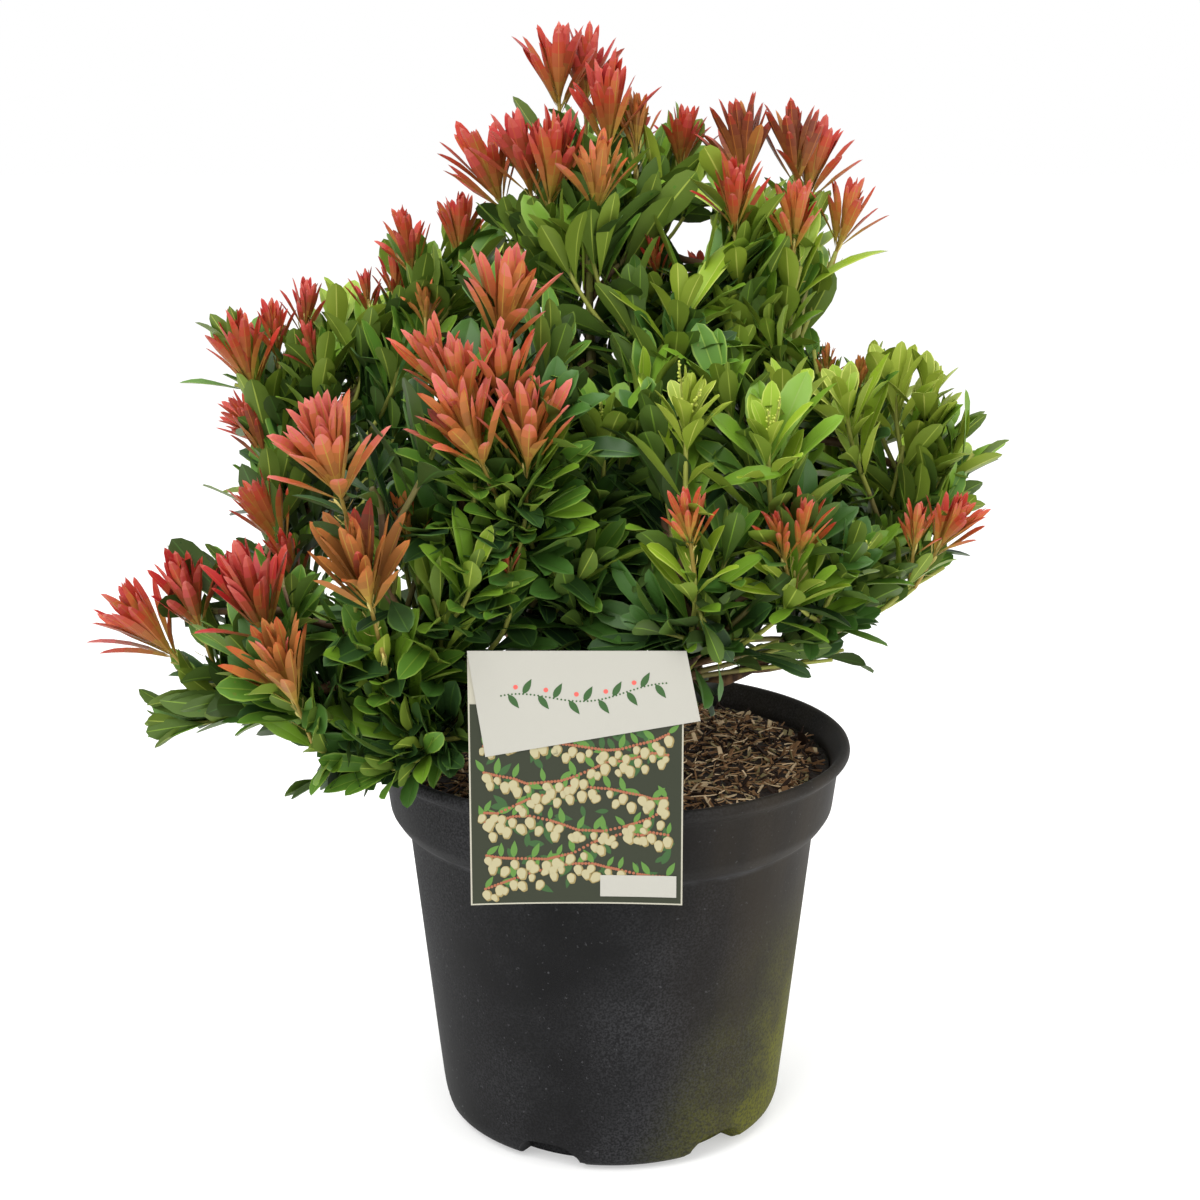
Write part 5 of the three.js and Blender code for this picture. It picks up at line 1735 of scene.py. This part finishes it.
class OBJECT_OT_pieris_new_growth(bpy.types.Operator):
    """Top the flushed shoots with rosettes of coloured young leaves over small pale bracts"""

    bl_idname = "pieris.new_growth"
    bl_label = "New growth"

    def execute(self, context):
        growth, colours = settings("growth"), settings("colours")
        plan = grow(growth)
        rng = np.random.default_rng(growth.seed + 2)
        shoots, flushed = plan["shoots"], plan["flushed"]
        size, tint = shoots["size"][flushed], shoots["tint"][flushed]
        counts = np.round(mix(16, 26, smooth(size, 0.35, 0.95)) + mix(0, 6, smooth(size, 1.0, 1.4)) +
                          rng.normal(0, 1, len(size))).astype(int)
        rosettes, owner, _ = whorl(
            plan["stems"], counts, rng, (-2 * MM, 10 * MM), (2, 35), growth.flush_length * size,
            growth.flush_width, lift=0.0, bend=(-0.05, 0.16), inner=0.82)
        rosettes["fold"] = rng.uniform(0.3, 0.6, len(owner))
        rosettes["foot_power"] = np.full(len(owner), 1.25)
        rosettes["tip_power"] = rng.uniform(0.62, 0.74, len(owner))
        varied = np.where(rng.random(len(owner)) < VARIED, rng.choice((-1, 1), len(owner)), 0)
        leaf_tint = np.clip(tint[owner] + varied, 0, len(TINTS) - 1)
        materials, dresses = dress_materials(FLUSHES.values(), colours, 0.46)
        young = [name for name in MASSES if name.startswith(YOUNG_MASSES)]
        make_piece("young_leaves", leaf_shape(rosettes, dresses[leaf_tint]), materials,
                   replaced=young, hard=hard_margins)
        bare = plan["twigs"][shoots["count"] == 0]
        groups = []
        for curves, number, depth, spread, length, width in (
            (plan["stems"], 9, (5 * MM, 26 * MM), (22, 50), 8.5 * MM, 0.15),
            (bare, 26, (0, 85 * MM), (30, 60), 9 * MM, 0.14),
        ):
            group, _, _ = whorl(curves, np.full(len(curves), number), rng, depth, spread,
                                np.full(len(curves), length), width, lift=0.0, bend=(-0.4, 0.4), inner=0.9)
            groups.append(group)
        materials, dresses = dress_materials([BRACTS], colours, 0.55)
        make_piece("bracts", leaf_shape(stacked(groups), dresses), materials,
                   hard=hard_margins)
        return {"FINISHED"}


BUDDING = ("front_right_twin", "centre_mid", "front_core", "centre_right", "right_tip")
SPIKES = 3
BUDS_PER_SPIKE = 12
SPIKE_LENGTH = 18 * MM
STALK_RINGS, BUD_SIDES = 7, 5
BUD_SHAPE = np.array(((0.12, 0.5, 0.88), (0.26, 0.4, 0.24)))  # places along a bud and radii, by its length


class OBJECT_OT_pieris_buds(bpy.types.Operator):
    """Set spikes of small flower buds on a few shoots"""

    bl_idname = "pieris.buds"
    bl_label = "Flower buds"

    def execute(self, context):
        colours = settings("colours")
        plan = grow(settings("growth"))
        rng = np.random.default_rng(73)
        shoots = plan["shoots"]
        budding = [np.flatnonzero((shoots["mass"] == MASSES.index(name)) & (shoots["tint"] < 0))[0]
                   for name in BUDDING]
        owner = np.repeat(budding, SPIKES)
        way = unit(shoots["way"][owner] + rng.normal(size=(len(owner), 3)) * 0.3)
        length = SPIKE_LENGTH * rng.uniform(0.7, 1.1, len(owner))[:, None]
        foot = shoots["tip"][owner]
        curves = np.stack((foot, foot + way * length * 0.4, foot + way * length * 0.75 + UP * 2 * MM,
                           foot + way * length + UP * 5 * MM), 1)
        middles = bezier(curves[:, None], np.linspace(0, 1, STALK_RINGS))
        stalks = rods(middles, np.full((1, STALK_RINGS), 0.5 * MM), BUD_SIDES)
        spike = np.repeat(np.arange(len(curves)), BUDS_PER_SPIKE)
        order = np.tile(np.arange(BUDS_PER_SPIKE), len(curves))
        up_spike = 0.2 + 0.8 * order / (BUDS_PER_SPIKE - 1)
        on = bezier(curves[spike], up_spike)
        spike_way = bezier_way(curves[spike], up_spike)
        beside = across(spike_way, rng.normal(size=(len(spike), 3)))
        bud_length = mix(2.9, 1.5, up_spike)[:, None] * MM
        along, radii = BUD_SHAPE
        beads = on[:, None] + unit(beside + spike_way)[:, None] * (bud_length * along)[..., None]
        buds = rods(beads, bud_length * radii, BUD_SIDES)
        materials = [plain("bud_stalk", colours.stem_green, 0.5), plain("bud", colours.bud, 0.5)]
        make_piece("flower_buds", join_shapes((
            rod_pattern(STALK_RINGS, BUD_SIDES).shape(stalks, 0),
            rod_pattern(len(along), BUD_SIDES).shape(buds, 1),
        )), materials)
        return {"FINISHED"}


# ---- stage

FRAME_PIXELS = 1200
CAMERA = {"down": 13.72, "focal_pixels": 2040, "axis_pixel": 611.5}  # degrees, and pixels of the frame
FLOOR_HALF = 15.0  # metres
LAMPS = (  # name, place and size in metres, watts
    ("key", (-0.9, -1.5, 2.0), 1.3, 39),
    ("fill", (1.7, -1.2, 1.2), 1.4, 15),
    ("top", (0.1, 0.3, 2.4), 1.8, 32),
)
LAMP_TARGET = Vector((0, 0, 0.35))


class OBJECT_OT_pieris_stage(bpy.types.Operator):
    """Lay a pale floor, hang soft lights and stand the camera in front of the label"""

    bl_idname = "pieris.stage"
    bl_label = "Stage"

    def execute(self, context):
        scene = context.scene
        self.lay_floor(scene)
        self.hang_lights(scene)
        lens = bpy.data.cameras.new("camera")
        lens.sensor_width = 36
        lens.lens = CAMERA["focal_pixels"] / FRAME_PIXELS * lens.sensor_width
        lens.shift_x = (FRAME_PIXELS / 2 - CAMERA["axis_pixel"]) / FRAME_PIXELS
        lens.clip_start, lens.clip_end = 0.01, 50
        camera = bpy.data.objects.new("camera", lens)
        camera.location = VIEWPOINT
        camera.rotation_euler = (math.radians(90 - CAMERA["down"]), 0, 0)
        scene.collection.objects.link(camera)
        scene.camera = camera
        scene.view_settings.view_transform = "Standard"
        return {"FINISHED"}

    def lay_floor(self, scene):
        """A pale square floor at the foot of the pot."""
        corners = [(x * FLOOR_HALF, y * FLOOR_HALF, 0) for x, y in ((-1, -1), (1, -1), (1, 1), (-1, 1))]
        mesh = bpy.data.meshes.new("floor")
        mesh.from_pydata(corners, [], [(0, 1, 2, 3)])
        pale = plain("floor", linear(205, 205, 204), 1.0, 0.0)
        shader = pale.node_tree.nodes["Principled BSDF"]
        shader.inputs["Emission Color"].default_value = (1, 1, 1, 1)
        shader.inputs["Emission Strength"].default_value = 0.42
        mesh.materials.append(pale)
        floor = bpy.data.objects.new("floor", mesh)
        scene.collection.objects.link(floor)

    def hang_lights(self, scene):
        """A white sky and three large soft lamps that look at the crown."""
        world = bpy.data.worlds.new("studio")
        world.use_nodes = True
        background = world.node_tree.nodes["Background"]
        background.inputs["Color"].default_value = (1, 1, 1, 1)
        background.inputs["Strength"].default_value = 1.0
        scene.world = world
        for name, place, size, watts in LAMPS:
            light = bpy.data.lights.new(name, "AREA")
            light.size = size
            light.energy = watts
            lamp = bpy.data.objects.new(name, light)
            place = Vector(place)
            turn = (LAMP_TARGET - place).to_track_quat("-Z", "Y")
            lamp.matrix_world = Matrix.Translation(place) @ turn.to_matrix().to_4x4()
            scene.collection.objects.link(lamp)


# ---- panel and start

class VIEW3D_PT_pieris(bpy.types.Panel):
    """Lists the shrub's pieces in the sidebar"""

    bl_label = "Potted pieris"
    bl_idname = "VIEW3D_PT_pieris"
    bl_space_type = "VIEW_3D"
    bl_region_type = "UI"
    bl_category = "Pieris"

    def draw(self, context):
        layout = self.layout
        for operator in OPERATORS:
            layout.operator(operator.bl_idname)
        for key, group in GROUPS.items():
            box = layout.box()
            box.label(text=key.capitalize())
            for name in group.__annotations__:
                box.prop(settings(key), name)


GROUPS = {"pot": PierisPot, "label": PierisLabel, "growth": PierisGrowth, "colours": PierisColours}
OPERATORS = (
    OBJECT_OT_pieris_pot, OBJECT_OT_pieris_compost, OBJECT_OT_pieris_label, OBJECT_OT_pieris_bark,
    OBJECT_OT_pieris_twigs, OBJECT_OT_pieris_leaves, OBJECT_OT_pieris_new_growth, OBJECT_OT_pieris_buds,
    OBJECT_OT_pieris_stage,
)


def register():
    for kind in (*GROUPS.values(), *OPERATORS, VIEW3D_PT_pieris):
        bpy.utils.register_class(kind)
    for key, group in GROUPS.items():
        setattr(bpy.types.Scene, "pieris_" + key, bpy.props.PointerProperty(type=group))


def unregister():
    for key in GROUPS:
        delattr(bpy.types.Scene, "pieris_" + key)
    for kind in reversed((*GROUPS.values(), *OPERATORS, VIEW3D_PT_pieris)):
        bpy.utils.unregister_class(kind)


def main():
    register()
    for operator in OPERATORS:
        family, name = operator.bl_idname.split(".")
        getattr(getattr(bpy.ops, family), name)()


if __name__ == "__main__":
    main()
